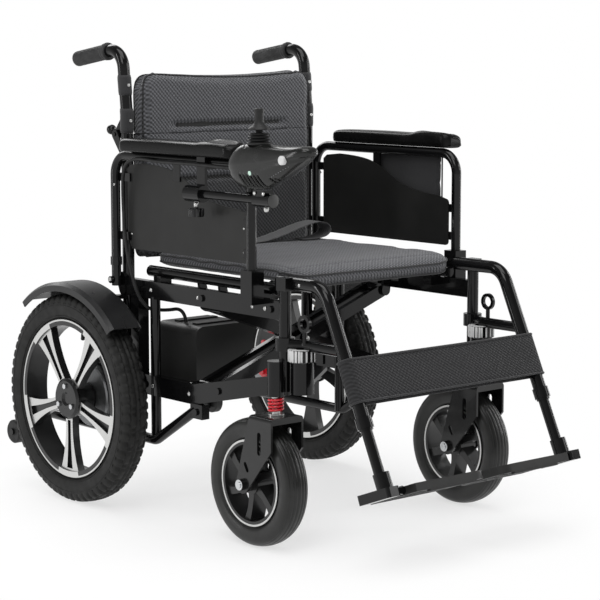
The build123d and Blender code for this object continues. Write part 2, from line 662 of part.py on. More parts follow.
def footplate():
    reach, wide, thick, skin = 187.0, 126.0, 15.0, 4.5
    gap = 9.0
    rows, cols = 4, 5
    with BuildPart() as plate:
        with BuildSketch(plate_frame(up=6 - thick)) as outline:
            with Locations((-(reach + gap) / 2, 0)):
                Rectangle(reach - gap, wide)
            fillet(outline.vertices().sort_by(Axis.X)[:2], 28)
        extrude(outline.sketch, amount=thick)
        with BuildSketch(plate_frame(up=6 - thick)) as lattice:
            with Locations((-(reach + gap) / 2, 0)):
                with GridLocations(32, 27, cols, rows):
                    RectangleRounded(26, 21, 3)
        extrude(lattice.sketch, amount=thick - skin, mode=Mode.SUBTRACT)
        with BuildSketch(plate_frame(along=wide / 2 - 5, up=6 - thick - 4)) as lip:
            with Locations((-(reach + gap) / 2, 0)):
                RectangleRounded(reach - gap - 60, 9, 3)
        extrude(lip.sketch, amount=thick + 4)
        with BuildSketch(plate_frame(up=-4)) as web:
            with Locations((-gap, 0)):
                Rectangle(2 * gap - 2, KNUCKLE)
        extrude(web.sketch, amount=8)
        rod(plate_point(0), KNUCKLE_D, KNUCKLE, plate_axis())
        bore(plate_point(0), PLATE_PIN_D + 2 * RUNNING_GAP, KNUCKLE + 2, plate_axis())
    keep_pair(plate.part, "footplate")


def calf_strap():
    web, slack = 3.5, 0.7
    radius = HANGER_D / 2 + slack
    low = on_hanger(STRAP_LOW_Z)
    plane = Plane(origin=(0, low[1], low[2]), x_dir=(1, 0, 0), z_dir=tuple(down_hanger() * -1))
    with BuildPart() as strap:
        with BuildSketch(plane) as loop:
            SlotOverall(2 * (HANGER_X + radius + web), 2 * (radius + web))
            SlotOverall(2 * (HANGER_X + radius), 2 * radius, mode=Mode.SUBTRACT)
        extrude(loop.sketch, amount=STRAP_H)
    keep(strap.part, "calf_strap")


# ---------------------------------------------------------------- folding cross-brace
def brace(name, side, spread):
    """One arm of the scissor: a pair of bars between two barrels, rising from side to -side."""
    low = (side * LOW_PIVOT_X, LOW_PIVOT_Z)
    high = (-side * HIGH_PIVOT_X, HIGH_PIVOT_Z)
    with BuildPart() as arm:
        for offset in (-spread, spread):
            y = BRACE_Y + offset + BRACE_T / 2
            hull(crosswise(y), [(*low, BRACE_H / 2), (*high, BRACE_H / 2)], BRACE_T)
        for x, z in (low, high):
            rod((x, BRACE_Y, z), BRACE_H, BRACE_BARREL, (0, 1, 0))
        for x, z in (low, high):
            bore((x, BRACE_Y, z), BRACE_PIN_D + 2 * RUNNING_GAP, BRACE_BARREL + 2, (0, 1, 0))
        if spread > BRACE_T:
            middle = ((low[0] + high[0]) / 2, (low[1] + high[1]) / 2)
            for offset in (-1, 1):
                y = BRACE_Y + offset * (spread + BRACE_T / 2 + 2.5)
                rod((middle[0], y, middle[1]), 19, 5, (0, 1, 0))
    keep(arm.part, name)


def seat_rail():
    with BuildPart() as rail:
        tube([(-SEAT_RAIL_X, SEAT_REAR - 6, SEAT_RAIL_Z), (-SEAT_RAIL_X, -254, SEAT_RAIL_Z)], SEAT_RAIL_D)
        for side in (-1, 1):
            y = BRACE_Y + side * (BRACE_BARREL / 2 + RUNNING_GAP + EAR_T / 2)
            hull(
                crosswise(y + EAR_T / 2),
                [(-HIGH_PIVOT_X, HIGH_PIVOT_Z, 11), (-SEAT_RAIL_X, SEAT_RAIL_Z - 2, 8)], EAR_T,
            )
        rod((-HIGH_PIVOT_X, BRACE_Y, HIGH_PIVOT_Z), BRACE_PIN_D, BRACE_BARREL + 2 * EAR_T, (0, 1, 0))
    keep_pair(rail.part, "seat_rail")


# ---------------------------------------------------------------- armrests
PAD_INNER, PAD_OUTER = 250.0, 301.0
PAD_Z = ARM_TOP_Z + ARM_TUBE_D / 2
PANEL_IN, PANEL_OUT = 253.5, 256.5


def armrest_frame():
    x = -ARM_X
    with BuildPart() as rest:
        tube(
            [
                (x, ARM_PIVOT_Y, ARM_PIVOT_Z - 12), (x, ARM_PIVOT_Y, ARM_TOP_Z),
                (x, ARM_FRONT_Y, ARM_TOP_Z), (x, ARM_FRONT_Y, SOCKET_FLOOR + RUNNING_GAP),
            ],
            ARM_TUBE_D, 40,
        )
        bore((x, ARM_PIVOT_Y, ARM_PIVOT_Z), ARM_PIN_D + 2 * RUNNING_GAP, 40, (1, 0, 0))
        rod((x, ARM_PIVOT_Y, 489), ARM_TUBE_D + 4, 16)
        # tabs that carry the side panel
        for z in (ARM_TOP_Z - 158, ARM_TOP_Z - 43):
            profile([(152, z - 8), (ARM_PIVOT_Y, z - 8), (ARM_PIVOT_Y, z + 8), (152, z + 8)],
                    -PANEL_OUT - 3, -PANEL_OUT)
        for z in (ARM_TOP_Z - 163, ARM_TOP_Z - 108):
            profile([(ARM_FRONT_Y, z - 8), (-198, z - 8), (-198, z + 8), (ARM_FRONT_Y, z + 8)],
                    -PANEL_OUT - 3, -PANEL_OUT)
        strap_z = ARM_TOP_Z - 43
        profile([(-8, strap_z), (12, strap_z), (12, ARM_TOP_Z), (-8, ARM_TOP_Z)], -PANEL_OUT - 3, -PANEL_OUT)
    keep_pair(rest.part, "armrest_frame")


def armrest_pad():
    with BuildPart() as pad:
        with BuildSketch(lengthwise(-PAD_OUTER)) as outline:
            with BuildLine():
                Line((138, PAD_Z), (-198, PAD_Z))
                ThreePointArc((-198, PAD_Z), (-209, PAD_Z + 5), (-205, PAD_Z + 13))
                Spline(
                    (-205, PAD_Z + 13), (-165, PAD_Z + 24), (-120, PAD_Z + 30), (0, PAD_Z + 28),
                    (120, PAD_Z + 26),
                )
                ThreePointArc((120, PAD_Z + 26), (142, PAD_Z + 14), (138, PAD_Z))
            make_face()
        extrude(outline.sketch, amount=PAD_OUTER - PAD_INNER)
        chamfer(pad.edges().filter_by(Axis.X, reverse=True).group_by(Axis.X)[0], 4)
        chamfer(pad.edges().filter_by(Axis.X, reverse=True).group_by(Axis.X)[-1], 4)
    keep_pair(pad.part, "armrest_pad")


def side_panel():
    curve = [(114, 14), (60, 17), (-1, 30), (-45, 53), (-73, 66), (-120, 78), (-180, 84)]
    top = [(y, ARM_TOP_Z - drop) for y, drop in curve]
    front_z, low_z = ARM_TOP_Z - 92, ARM_TOP_Z - 182
    with BuildPart() as panel:
        with BuildSketch(lengthwise(-PANEL_OUT)) as outline:
            with BuildLine():
                Spline(*top)
                Polyline(
                    top[-1], (-210, front_z), (-210, low_z), (150, low_z), (163, low_z + 24),
                    (163, ARM_TOP_Z - 26), (152, ARM_TOP_Z - 18), top[0],
                )
            make_face()
            fillet(outline.vertices().group_by(Axis.X)[0], 8)
        extrude(outline.sketch, amount=PANEL_OUT - PANEL_IN)
        with BuildSketch(lengthwise(-PANEL_OUT)) as sunk:
            offset(outline.sketch, amount=-12)
        extrude(sunk.sketch, amount=1.0, mode=Mode.SUBTRACT)
    keep_pair(panel.part, "side_panel")


def armrest_pouch():
    x = ARM_X + ARM_TUBE_D / 2 + RUNNING_GAP
    with BuildPart() as pouch:
        top, low = ARM_TOP_Z + 2, ARM_TOP_Z - 128
        outline = [(20, top), (-170, top), (-160, low + 10), (-150, low), (10, low), (20, low + 10)]
        profile(outline, x, x + 9, 6)
    keep(pouch.part, "armrest_pouch")


# ---------------------------------------------------------------- joystick
STICK_X, STICK_Y, STICK_PIVOT_Z = -301.0, -294.0, ARM_TOP_Z + 48
BOX_IN, BOX_OUT = 273.0, 329.0
BOX_BASE_Z, DECK_Z = ARM_TOP_Z - 40, ARM_TOP_Z + 41
ARM_TUBE_X = 290.0
ARM_TUBE_Z = ARM_TOP_Z - 58
BUTTON_Y, BUTTON_Z = -388.0, ARM_TOP_Z + 18
BALL_D = 13.4


def joystick_housing():
    deck, base = DECK_Z, BOX_BASE_Z
    with BuildPart() as box:
        with BuildSketch(lengthwise(-BOX_OUT)) as outline:
            with BuildLine():
                Polyline((-218, deck - 17), (-226, deck), (-428, deck + 2), (-440, deck - 11))
                Spline((-440, deck - 11), (-400, deck - 39), (-353, base + 16), (-310, base))
                Polyline((-310, base), (-268, base), (-226, base + 14), (-218, deck - 17))
            make_face()
            corners = outline.vertices().sort_by(Axis.X)
            fillet([corners[0], corners[1], corners[-1], corners[-2], corners[-3]], 7)
        extrude(outline.sketch, amount=BOX_OUT - BOX_IN)
        chamfer(box.faces().sort_by(Axis.X)[0].edges(), 5)
        chamfer(box.faces().sort_by(Axis.X)[-1].edges(), 5)
        # side vents
        with BuildSketch(lengthwise(-BOX_OUT)) as vents:
            for row in range(5):
                with Locations((STICK_Y + 24, base + 10 + 8 * row)):
                    SlotOverall(44, 3.5)
        extrude(vents.sketch, amount=3, mode=Mode.SUBTRACT)
        # cup that carries the gimbal's trunnions
        rod((STICK_X, STICK_Y, deck + 5.5), 30, 13)
        bore((STICK_X, STICK_Y, deck + 6), 24, 12)
        bore((STICK_X, STICK_Y, STICK_PIVOT_Z), 4 + 2 * RUNNING_GAP, 40, (1, 0, 0))
        # rubber boot, open at the top
        with BuildSketch(axle_plane(STICK_X, STICK_Y, 0)) as skirt:
            with BuildLine():
                Polyline(
                    (20.5, deck - 1), (24, deck - 1), (24, deck + 3), (19, deck + 9), (19.5, deck + 12),
                    (13, deck + 19), (9.5, deck + 20), (9.5, deck + 18.5), (17, deck + 11.5),
                    (16.5, deck + 9.5), (20.5, deck + 3), close=True,
                )
            make_face()
        revolve(skirt.sketch, axis=Axis((STICK_X, STICK_Y, 0), (0, 0, 1)))
        bore((-BOX_OUT + 3, BUTTON_Y, BUTTON_Z), 16 + 2 * RUNNING_GAP, 8, (1, 0, 0))
    keep(box.part, "joystick_housing")


def joystick_gimbal():
    centre = (STICK_X, STICK_Y, STICK_PIVOT_Z)
    with BuildPart() as ring:
        rod(centre, 21, 6)
        rod(centre, 4, 28, (1, 0, 0))
        bore(centre, BALL_D + 2 * RUNNING_GAP, 10)
    keep(ring.part, "joystick_gimbal")


def joystick_stick():
    knob = [
        (0, 24), (4, 24), (4, 19.5), (17, 19.5), (17, 22), (12, 27), (10.5, 30), (9.5, 40), (11.5, 48),
        (11.5, 52), (8, 56), (0, 56),
    ]
    with BuildPart() as stick:
        with Locations((STICK_X, STICK_Y, STICK_PIVOT_Z)):
            Sphere(BALL_D / 2)
        rod((STICK_X, STICK_Y, STICK_PIVOT_Z + 14), 8, 22)
        across = Plane(origin=(STICK_X, STICK_Y, STICK_PIVOT_Z), x_dir=(1, 0, 0), z_dir=(0, -1, 0))
        with BuildSketch(across) as grip:
            with BuildLine():
                Polyline(*knob, close=True)
            make_face()
        revolve(grip.sketch, axis=Axis((STICK_X, STICK_Y, 0), (0, 0, 1)))
    keep(stick.part, "joystick_stick")


def power_button():
    with BuildPart() as button:
        rod((-BOX_OUT + 1, BUTTON_Y, BUTTON_Z), 16, 7, (1, 0, 0))
        chamfer(button.edges().group_by(Axis.X)[0], 1)
    keep(button.part, "power_button")


def joystick_arm():
    clamp_y, width = -98.0, 24.0
    x = -ARM_TUBE_X
    with BuildPart() as arm:
        front, rear = clamp_y - width / 2, clamp_y + width / 2
        block((-ARM_X - 17, front, ARM_TOP_Z - 14), (-PAD_INNER - 1, rear, PAD_Z - 0.5))
        block((-ARM_X - 17, front, ARM_TUBE_Z - 14), (-ARM_X - 11, rear, ARM_TOP_Z - 12))
        bore((-ARM_X, clamp_y, ARM_TOP_Z), ARM_TUBE_D + 2 * RUNNING_GAP, 2 * width, (0, 1, 0))
        rod((x, clamp_y, ARM_TUBE_Z), 31, 2 * width - 2, (0, 1, 0))
        tube([(x, clamp_y + 28, ARM_TUBE_Z), (x, STICK_Y, ARM_TUBE_Z)], 16)
        rod((x, clamp_y, ARM_TUBE_Z - 22), 8, 20)
        rod((x, clamp_y, ARM_TUBE_Z - 35), 28, 14)
        rod((x, STICK_Y - 2, ARM_TUBE_Z), 26, 46, (0, 1, 0))
        block((x - 11, STICK_Y - 12, ARM_TUBE_Z), (x + 11, STICK_Y + 18, BOX_BASE_Z))
    keep(arm.part, "joystick_arm")


def joystick_cable():
    start = (-288, -218.6, 692)
    with BuildPart() as cable:
        tube(
            [
                start, (-288, -170, 692), (-285, -80, 694), (-281, 30, 692), (-278, 110, 697),
                (-276, 152, 678), (-266, 166, 600), (-265, 158, 505), (-257, 122, 402),
                (-205, 116, 392), (-165, 104, 396), (-162, 102, 366),
            ],
            7.0, 11,
        )
    keep(cable.part, "joystick_cable")


# ---------------------------------------------------------------- back and seat
def push_handle():
    grip_out = (-CANE_X, GRIP_END_Y, CANE_TOP_Z - GRIP_DROP)
    with BuildPart() as cane:
        tube(
            [
                (-CANE_X, CANE_Y, CANE_SPLIT_Z), (-CANE_X, CANE_Y, CANE_SPLIT_Z + 36),
                (-CANE_X, CANE_Y + CANE_RAKE, CANE_TOP_Z), grip_out,
            ],
            CANE_D, 38,
        )
        lug = [(BACK_PIVOT_Y, BACK_PIVOT_Z, 9), (CANE_Y + 6, CANE_SPLIT_Z + 26, 7)]
        hull(lengthwise(-CANE_X - 6), lug, 12)
        bore((-CANE_X, BACK_PIVOT_Y, BACK_PIVOT_Z), ARM_PIN_D + 2 * RUNNING_GAP, 60, (1, 0, 0))
        # latch knob behind the hinge
        rod((-CANE_X, BACK_PIVOT_Y + 16, BACK_PIVOT_Z + 8), 8, 18, (0, 1, 0))
        with Locations((-CANE_X, BACK_PIVOT_Y + 26, BACK_PIVOT_Z + 8)):
            Sphere(10)
    keep_pair(cane.part, "push_handle")


def handle_grip():
    slope = Vector(0, GRIP_END_Y - CANE_Y - CANE_RAKE, -GRIP_DROP).normalized()
    end = Vector(-CANE_X, GRIP_END_Y, CANE_TOP_Z - GRIP_DROP) + slope * 6
    middle = end - slope * (GRIP_L / 2)
    with BuildPart() as grip:
        rod(middle, GRIP_D, GRIP_L, slope)
        bore(end - slope * (6 + GRIP_L / 2), CANE_D + 2 * RUNNING_GAP, GRIP_L, slope)
    keep_pair(grip.part, "handle_grip")


def back_cushions():
    front, half = AXLE_Y - 110, CANE_X - CANE_D / 2 - RUNNING_GAP
    for name, low, high, rear in (
        ("back_cushion_lower", SEAT_TOP - 26, BACK_PIVOT_Z + 0.5, CANE_Y + 8),
        ("back_cushion_upper", CANE_SPLIT_Z + 0.5, BACK_TOP_Z, CANE_Y + 10),
    ):
        with BuildPart() as cushion:
            with BuildSketch(Plane(origin=(0, 0, low))) as outline:
                with Locations((0, (front + rear) / 2)):
                    RectangleRounded(2 * half, rear - front, 8)
            extrude(outline.sketch, amount=high - low)
        keep(cushion.part, name)


def seat_cushion():
    under, hem = SEAT_RAIL_Z + SEAT_RAIL_D / 2 + RUNNING_GAP, SEAT_RAIL_Z - 8
    nose = (SEAT_FRONT + 20, SEAT_TOP), (SEAT_FRONT + 6, SEAT_TOP - 6), (SEAT_FRONT, SEAT_TOP - 20)
    with BuildPart() as cushion:
        with BuildSketch(lengthwise(-SEAT_HALF)) as outline:
            with BuildLine():
                Polyline((SEAT_REAR, under), (SEAT_REAR, SEAT_TOP), nose[0])
                ThreePointArc(*nose)
                Polyline(
                    nose[2], (SEAT_FRONT, hem), (SEAT_FRONT + 14, hem), (SEAT_FRONT + 30, under),
                    (SEAT_REAR, under),
                )
            make_face()
        extrude(outline.sketch, amount=2 * SEAT_HALF)
    keep(cushion.part, "seat_cushion")


def seat_belt():
    y, half = AXLE_Y - 150, 22.0
    with BuildPart() as belt:
        block((-34, y - half - 5, SEAT_TOP + RUNNING_GAP), (34, y + half + 5, SEAT_TOP + 13))
        fillet(belt.edges().filter_by(Axis.Z), 6)
        block((-190, y - half, SEAT_TOP + RUNNING_GAP), (190, y + half, SEAT_TOP + 3))
    keep(belt.part, "seat_belt")


def battery_box():
    inner, outer, front, rear, low, high = 40.0, 185.0, 40.0, 168.0, 238.0, 365.0
    with BuildPart() as box:
        with BuildSketch(crosswise(rear)) as outline:
            with Locations((-(inner + outer) / 2, (low + high) / 2)):
                Rectangle(outer - inner, high - low)
            fillet(outline.vertices().group_by(Axis.Y)[-1], 18)
        extrude(outline.sketch, amount=rear - front)
        for y in (66, 121):
            block((-FRAME_X + RAIL_T / 2, y - 8, low), (-outer + 4, y + 8, low + 8))
        for y in (75, 133):
            block((-outer + 24, y - 8, high - 1), (-inner - 24, y + 8, high + 3))
    keep(box.part, "battery_box")


for make in (
    rear_tyre, rear_rim, hub_cap, motor, clutch_lever, fender, side_frame, antitip_wheel, caster_stem,
    suspension_spring, caster_fork, caster_rim, caster_tyre, leg_hanger, footrest_tube, footplate, calf_strap,
    seat_rail, armrest_frame, armrest_pad, side_panel, armrest_pouch, joystick_housing, joystick_gimbal,
    joystick_stick, power_button, joystick_arm, joystick_cable, push_handle, handle_grip, back_cushions,
    seat_cushion, seat_belt, battery_box,
):
    make()
brace("cross_brace_a", -1, 22.0)
brace("cross_brace_b", 1, 9.0)

os.makedirs("parts", exist_ok=True)
for name, part in parts.items():
    export_step(part, f"parts/{name}.step")
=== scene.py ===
import math
from functools import partialmethod

import bmesh
import bpy
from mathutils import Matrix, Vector, noise
from mathutils.bvhtree import BVHTree


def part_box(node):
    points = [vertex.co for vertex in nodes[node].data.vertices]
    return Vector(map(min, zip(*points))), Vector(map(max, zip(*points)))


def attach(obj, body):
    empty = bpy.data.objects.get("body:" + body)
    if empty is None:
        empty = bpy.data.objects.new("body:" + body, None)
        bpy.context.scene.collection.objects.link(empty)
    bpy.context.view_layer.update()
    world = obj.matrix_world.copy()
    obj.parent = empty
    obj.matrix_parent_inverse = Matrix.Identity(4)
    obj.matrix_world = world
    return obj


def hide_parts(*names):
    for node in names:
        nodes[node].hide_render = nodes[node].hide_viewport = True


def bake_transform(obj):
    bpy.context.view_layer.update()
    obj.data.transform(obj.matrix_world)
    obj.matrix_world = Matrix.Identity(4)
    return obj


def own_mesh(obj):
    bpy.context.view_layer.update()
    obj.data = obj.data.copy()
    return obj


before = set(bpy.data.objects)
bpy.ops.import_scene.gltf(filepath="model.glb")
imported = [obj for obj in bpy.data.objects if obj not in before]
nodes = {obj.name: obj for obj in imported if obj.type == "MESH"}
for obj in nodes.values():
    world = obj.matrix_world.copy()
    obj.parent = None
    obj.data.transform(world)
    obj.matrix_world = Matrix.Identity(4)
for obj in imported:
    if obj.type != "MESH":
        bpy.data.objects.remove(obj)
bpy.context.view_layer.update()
scene = bpy.context.scene
MM = 0.001
SIDES = {"right": -1, "left": 1}


def mm(*points):
    """Points given in millimetres, in metres."""
    return [tuple(v * MM for v in p) for p in points]


# the same values as the solids, in metres
AXLE = (0.307, 0.272, 0.21)
CASTER = (0.262, -0.242, 0.119)
CANE_X = 0.234
HANGER_X = 0.227
STICK = (-0.301, -0.294, 0.746)


# ---------------------------------------------------------------- materials
class Nodes:
    """A node tree with helpers that add and join its nodes."""

    def __init__(self, tree):
        self.n, self.l = tree.nodes, tree.links
        self.space = self.n.new("ShaderNodeTexCoord").outputs["Object"]

    def node(self, kind, **settings):
        node = self.n.new(kind)
        for key, value in settings.items():
            if key.startswith("in_"):
                node.inputs[key[3:]].default_value = value
            else:
                setattr(node, key, value)
        return node

    def noise(self, scale, detail=3.0, rough=0.5, space=None):
        node = self.node("ShaderNodeTexNoise", in_Scale=scale, in_Detail=detail, in_Roughness=rough)
        self.l.new(space or self.space, node.inputs["Vector"])
        return node.outputs["Fac"]

    def math(self, operation, a, b=None, clamp=False):
        node = self.node("ShaderNodeMath", operation=operation, use_clamp=clamp)
        for i, value in enumerate((a, b)):
            if isinstance(value, (int, float)):
                node.inputs[i].default_value = value
            elif value is not None:
                self.l.new(value, node.inputs[i])
        return node.outputs[0]

    plus = partialmethod(math, "ADD")
    minus = partialmethod(math, "SUBTRACT")
    times = partialmethod(math, "MULTIPLY")
    above = partialmethod(math, "GREATER_THAN")
    below = partialmethod(math, "LESS_THAN")
    most = partialmethod(math, "MAXIMUM")
    size = partialmethod(math, "ABSOLUTE")
    sine = partialmethod(math, "SINE")

    def ramp(self, fac, low, high, a, b):
        """From a to b as fac goes from low to high."""
        node = self.node("ShaderNodeMapRange", clamp=True)
        for i, value in ((1, low), (2, high), (3, a), (4, b)):
            node.inputs[i].default_value = value
        self.l.new(fac, node.inputs[0])
        return node.outputs[0]

    def mix(self, fac, a, b):
        node = self.node("ShaderNodeMix", data_type="RGBA")
        self.l.new(fac, node.inputs[0])
        for i, value in ((6, a), (7, b)):
            if isinstance(value, tuple):
                node.inputs[i].default_value = (*value, 1)
            else:
                self.l.new(value, node.inputs[i])
        return node.outputs[2]

    def tones(self, fac, a, b, low=0.3, high=0.7):
        """From color a to color b as fac goes from low to high."""
        return self.mix(self.ramp(fac, low, high, 0, 1), a, b)

    def axis(self, name, vector=None):
        split = self.node("ShaderNodeSeparateXYZ")
        self.l.new(vector or self.space, split.inputs[0])
        return split.outputs[name]

    def normal_axis(self, name):
        return self.axis(name, self.node("ShaderNodeNewGeometry").outputs["Normal"])


class Mat(Nodes):
    """A Principled material with procedural detail."""

    def __init__(self, name, color, rough=0.5, metallic=0.0, **sockets):
        self.mat = bpy.data.materials.new(name)
        self.mat.use_nodes = True
        super().__init__(self.mat.node_tree)
        self.bsdf = self.n["Principled BSDF"]
        sockets |= {"Base_Color": (*color, 1), "Roughness": rough, "Metallic": metallic}
        for key, value in sockets.items():
            self.bsdf.inputs[key.replace("_", " ")].default_value = value
        self.color, self.rough = color, rough
        self.relief = None

    def drive(self, socket, output):
        self.l.new(output, self.bsdf.inputs[socket])

    def vary(self, scale, amount, rough_amount):
        """Uneven tone and gloss over the surface."""
        low = tuple(max(0.0, c * (1 - amount)) for c in self.color)
        high = tuple(min(1.0, c * (1 + amount)) for c in self.color)
        self.drive("Base Color", self.tones(self.noise(scale, 4), low, high))
        gloss, rough = self.noise(scale * 2.3, 3), self.rough
        self.drive("Roughness", self.ramp(gloss, 0.3, 0.7, rough - rough_amount, rough + rough_amount))
        return self

    def bump(self, height, strength, distance):
        """Relief by height, on top of any relief set before."""
        node = self.node("ShaderNodeBump", in_Strength=strength, in_Distance=distance)
        self.l.new(height, node.inputs["Height"])
        if self.relief is not None:
            self.l.new(self.relief, node.inputs["Normal"])
        self.relief = node.outputs["Normal"]
        self.drive("Normal", self.relief)


def paint():
    m = Mat("frame_paint", (0.0032, 0.0032, 0.0034), 0.14, 0.0, Coat_Weight=0.2, Coat_Roughness=0.04,
            Specular_IOR_Level=0.2)
    m.vary(9, 0.25, 0.03)
    m.bump(m.noise(420, 2), 0.03, 0.0004)
    return m.mat


def plastic(name, color, rough, grain=900, strength=0.12, shine=0.25):
    m = Mat(name, color, rough, 0.0, Specular_IOR_Level=shine)
    m.vary(14, 0.15, 0.05)
    m.bump(m.noise(grain, 3, 0.6), strength, 0.0004)
    return m.mat


def rubber(name, color, rough, shine=0.25):
    m = Mat(name, color, rough, Specular_IOR_Level=shine)
    m.vary(30, 0.35, 0.08)
    m.bump(m.noise(700, 4, 0.65), 0.2, 0.0005)
    return m.mat


def metal(name, color, rough, grain=(900, 40, 40)):
    m = Mat(name, color, rough, 1.0)
    mapping = m.node("ShaderNodeMapping")
    mapping.inputs["Scale"].default_value = grain
    m.l.new(m.space, mapping.inputs[0])
    fine = m.noise(3.0, 4, 0.6, mapping.outputs[0])
    low, high = tuple(c * 0.86 for c in color), tuple(min(1, c * 1.08) for c in color)
    m.drive("Base Color", m.tones(fine, low, high))
    m.drive("Roughness", m.ramp(fine, 0.3, 0.7, rough - 0.06, rough + 0.08))
    m.bump(fine, 0.05, 0.0003)
    return m.mat


def around(m, centre):
    """Distance from an axle through centre, along X."""
    y = m.minus(m.axis("Y"), centre[1])
    z = m.minus(m.axis("Z"), centre[2])
    return m.math("SQRT", m.plus(m.times(y, y), m.times(z, z)))


def outward(m, centre):
    """Distance along X from the middle plane of a wheel of either side."""
    return m.size(m.minus(m.size(m.axis("X")), centre[0]))


def two_tone(name, centre, faces, lip, lip_radius, well=1.0, spokes=5):
    """Black wheel casting with bright machined faces: spoke fronts, their feet past the well radius, and the
    rim's thin outer edge. Faces and lip are distances from the wheel's middle plane."""
    m = Mat(name, (0.008, 0.008, 0.008), 0.3, 0.0, Coat_Weight=0.25, Coat_Roughness=0.08,
            Specular_IOR_Level=0.35)
    out, radius = outward(m, centre), around(m, centre)
    flat = m.above(m.size(m.normal_axis("X")), 0.82)
    turn = m.math("ARCTAN2", m.minus(m.axis("Z"), centre[2]), m.minus(m.axis("Y"), centre[1]))
    wave = m.math("COSINE", m.times(m.plus(turn, math.pi / 2), spokes))
    reach = m.most(m.below(radius, well), m.above(wave, 0.42))
    front = m.times(m.times(m.above(out, faces), m.above(radius, HUB_RADIUS)), reach)
    edge = m.times(m.above(out, lip), m.above(radius, lip_radius))
    bright = m.times(flat, m.most(front, edge), clamp=True)
    turned = m.node("ShaderNodeTexWave", wave_type="RINGS", rings_direction="SPHERICAL", in_Scale=700.0,
                    in_Distortion=0.4)
    shift = m.node("ShaderNodeVectorMath", operation="SUBTRACT")
    shift.inputs[1].default_value = centre
    m.l.new(m.space, shift.inputs[0])
    m.l.new(shift.outputs[0], turned.inputs["Vector"])
    alloy = m.mix(turned.outputs["Fac"], (0.56, 0.56, 0.55), (0.68, 0.68, 0.67))
    dark = m.tones(m.noise(20, 3), (0.006, 0.006, 0.006), (0.011, 0.011, 0.011))
    m.drive("Base Color", m.mix(bright, dark, alloy))
    m.drive("Metallic", m.times(bright, 0.85))
    m.drive("Roughness", m.ramp(bright, 0, 1, 0.3, 0.34))
    return m.mat


def with_nuts(name, centre, radius, beyond):
    """Painted casting whose axle ends are bare zinc."""
    m = Mat(name, (0.0055, 0.0055, 0.0058), 0.24, 0.0, Coat_Weight=0.3, Coat_Roughness=0.06,
            Specular_IOR_Level=0.3)
    nut = m.times(m.below(around(m, centre), radius), m.above(outward(m, centre), beyond))
    grain = m.noise(60, 3)
    dark = m.tones(grain, (0.005, 0.005, 0.005), (0.009, 0.009, 0.009))
    zinc = m.tones(grain, (0.52, 0.53, 0.54), (0.66, 0.67, 0.68))
    m.drive("Base Color", m.mix(nut, dark, zinc))
    m.drive("Metallic", m.times(nut, 0.95))
    m.bump(m.noise(420, 2), 0.03, 0.0004)
    return m.mat


def cloth(name, dark, light, pitch, plane=("X", "Y"), strength=1.0, seam=None, sheen=0.25, shade_channels=()):
    """Knobbly diagonal spacer mesh: two crossed diagonal waves, with the cords standing proud. Below the
    seam's height it is painted darker as painted shade; each shaded channel is a height and a half width, its
    front faces painted near-black as painted shade."""
    m = Mat(name, light, 0.85, 0.0, Sheen_Weight=sheen, Sheen_Roughness=0.5)
    # the third axis carries the weave round on to the piece's edges
    third = ({"X", "Y", "Z"} - set(plane)).pop()
    round_edge = m.times(m.axis(third), 0.5)
    a, b = (m.plus(m.axis(name), round_edge) for name in plane)
    turn = 2 * math.pi / pitch * 0.72
    warped = m.times(m.minus(m.noise(60, 2), 0.5), 1.6)
    first = m.sine(m.plus(m.times(m.plus(a, b), turn), warped))
    second = m.sine(m.times(m.minus(a, b), turn))
    cords = m.times(m.plus(m.plus(first, m.times(second, 0.6)), 1.6), 0.31)
    fuzz = m.noise(900, 3, 0.6)
    tone = m.plus(m.times(cords, 0.75), m.times(fuzz, 0.35), clamp=True)
    colour = m.tones(tone, dark, light, 0.25, 0.85)
    colour = m.mix(m.ramp(m.noise(7, 3), 0.35, 0.65, 0, 0.22), colour, tuple(c * 0.7 for c in light))
    # painted shade: below the seam's height the colours are darkened to stand in for the armrests' shadow on
    # the lower back
    if seam:
        low = m.tones(tone, tuple(c * 0.40 for c in dark), tuple(c * 0.38 for c in light), 0.25, 0.85)
        colour = m.mix(m.below(m.axis("Z"), seam), colour, low)
    # painted shade: the front faces in each channel's groove are painted near-black
    for z, end in shade_channels:
        near = m.ramp(m.size(m.minus(m.axis("Z"), z)), 0.0030, 0.0050, 1, 0)
        inside = m.ramp(m.size(m.axis("X")), end - 0.004, end, 1, 0)
        front = m.below(m.normal_axis("Y"), -0.1)
        colour = m.mix(m.times(front, m.times(near, inside)), colour, (0.004, 0.004, 0.004))
    m.drive("Base Color", colour)
    m.bump(cords, strength, 0.0012)
    m.bump(fuzz, 0.25, 0.0004)
    return m.mat


def webbing(name, dark, light, run, pitch=0.0022):
    """Ribbed strap weave running along one axis."""
    m = Mat(name, light, 0.8, 0.0, Sheen_Weight=0.2, Sheen_Roughness=0.5)
    turn = 2 * math.pi / pitch
    across = m.axis("Y" if run == "Z" else "Z")
    weave = m.times(m.sine(m.times(m.axis(run), turn)), m.sine(m.times(across, turn / 1.8)))
    weave = m.times(m.plus(weave, 1.0), 0.5)
    fuzz = m.noise(1100, 3)
    m.drive("Base Color", m.tones(m.plus(weave, m.times(fuzz, 0.4)), dark, light, 0.2, 1.2))
    m.bump(weave, 0.35, 0.0006)
    return m.mat


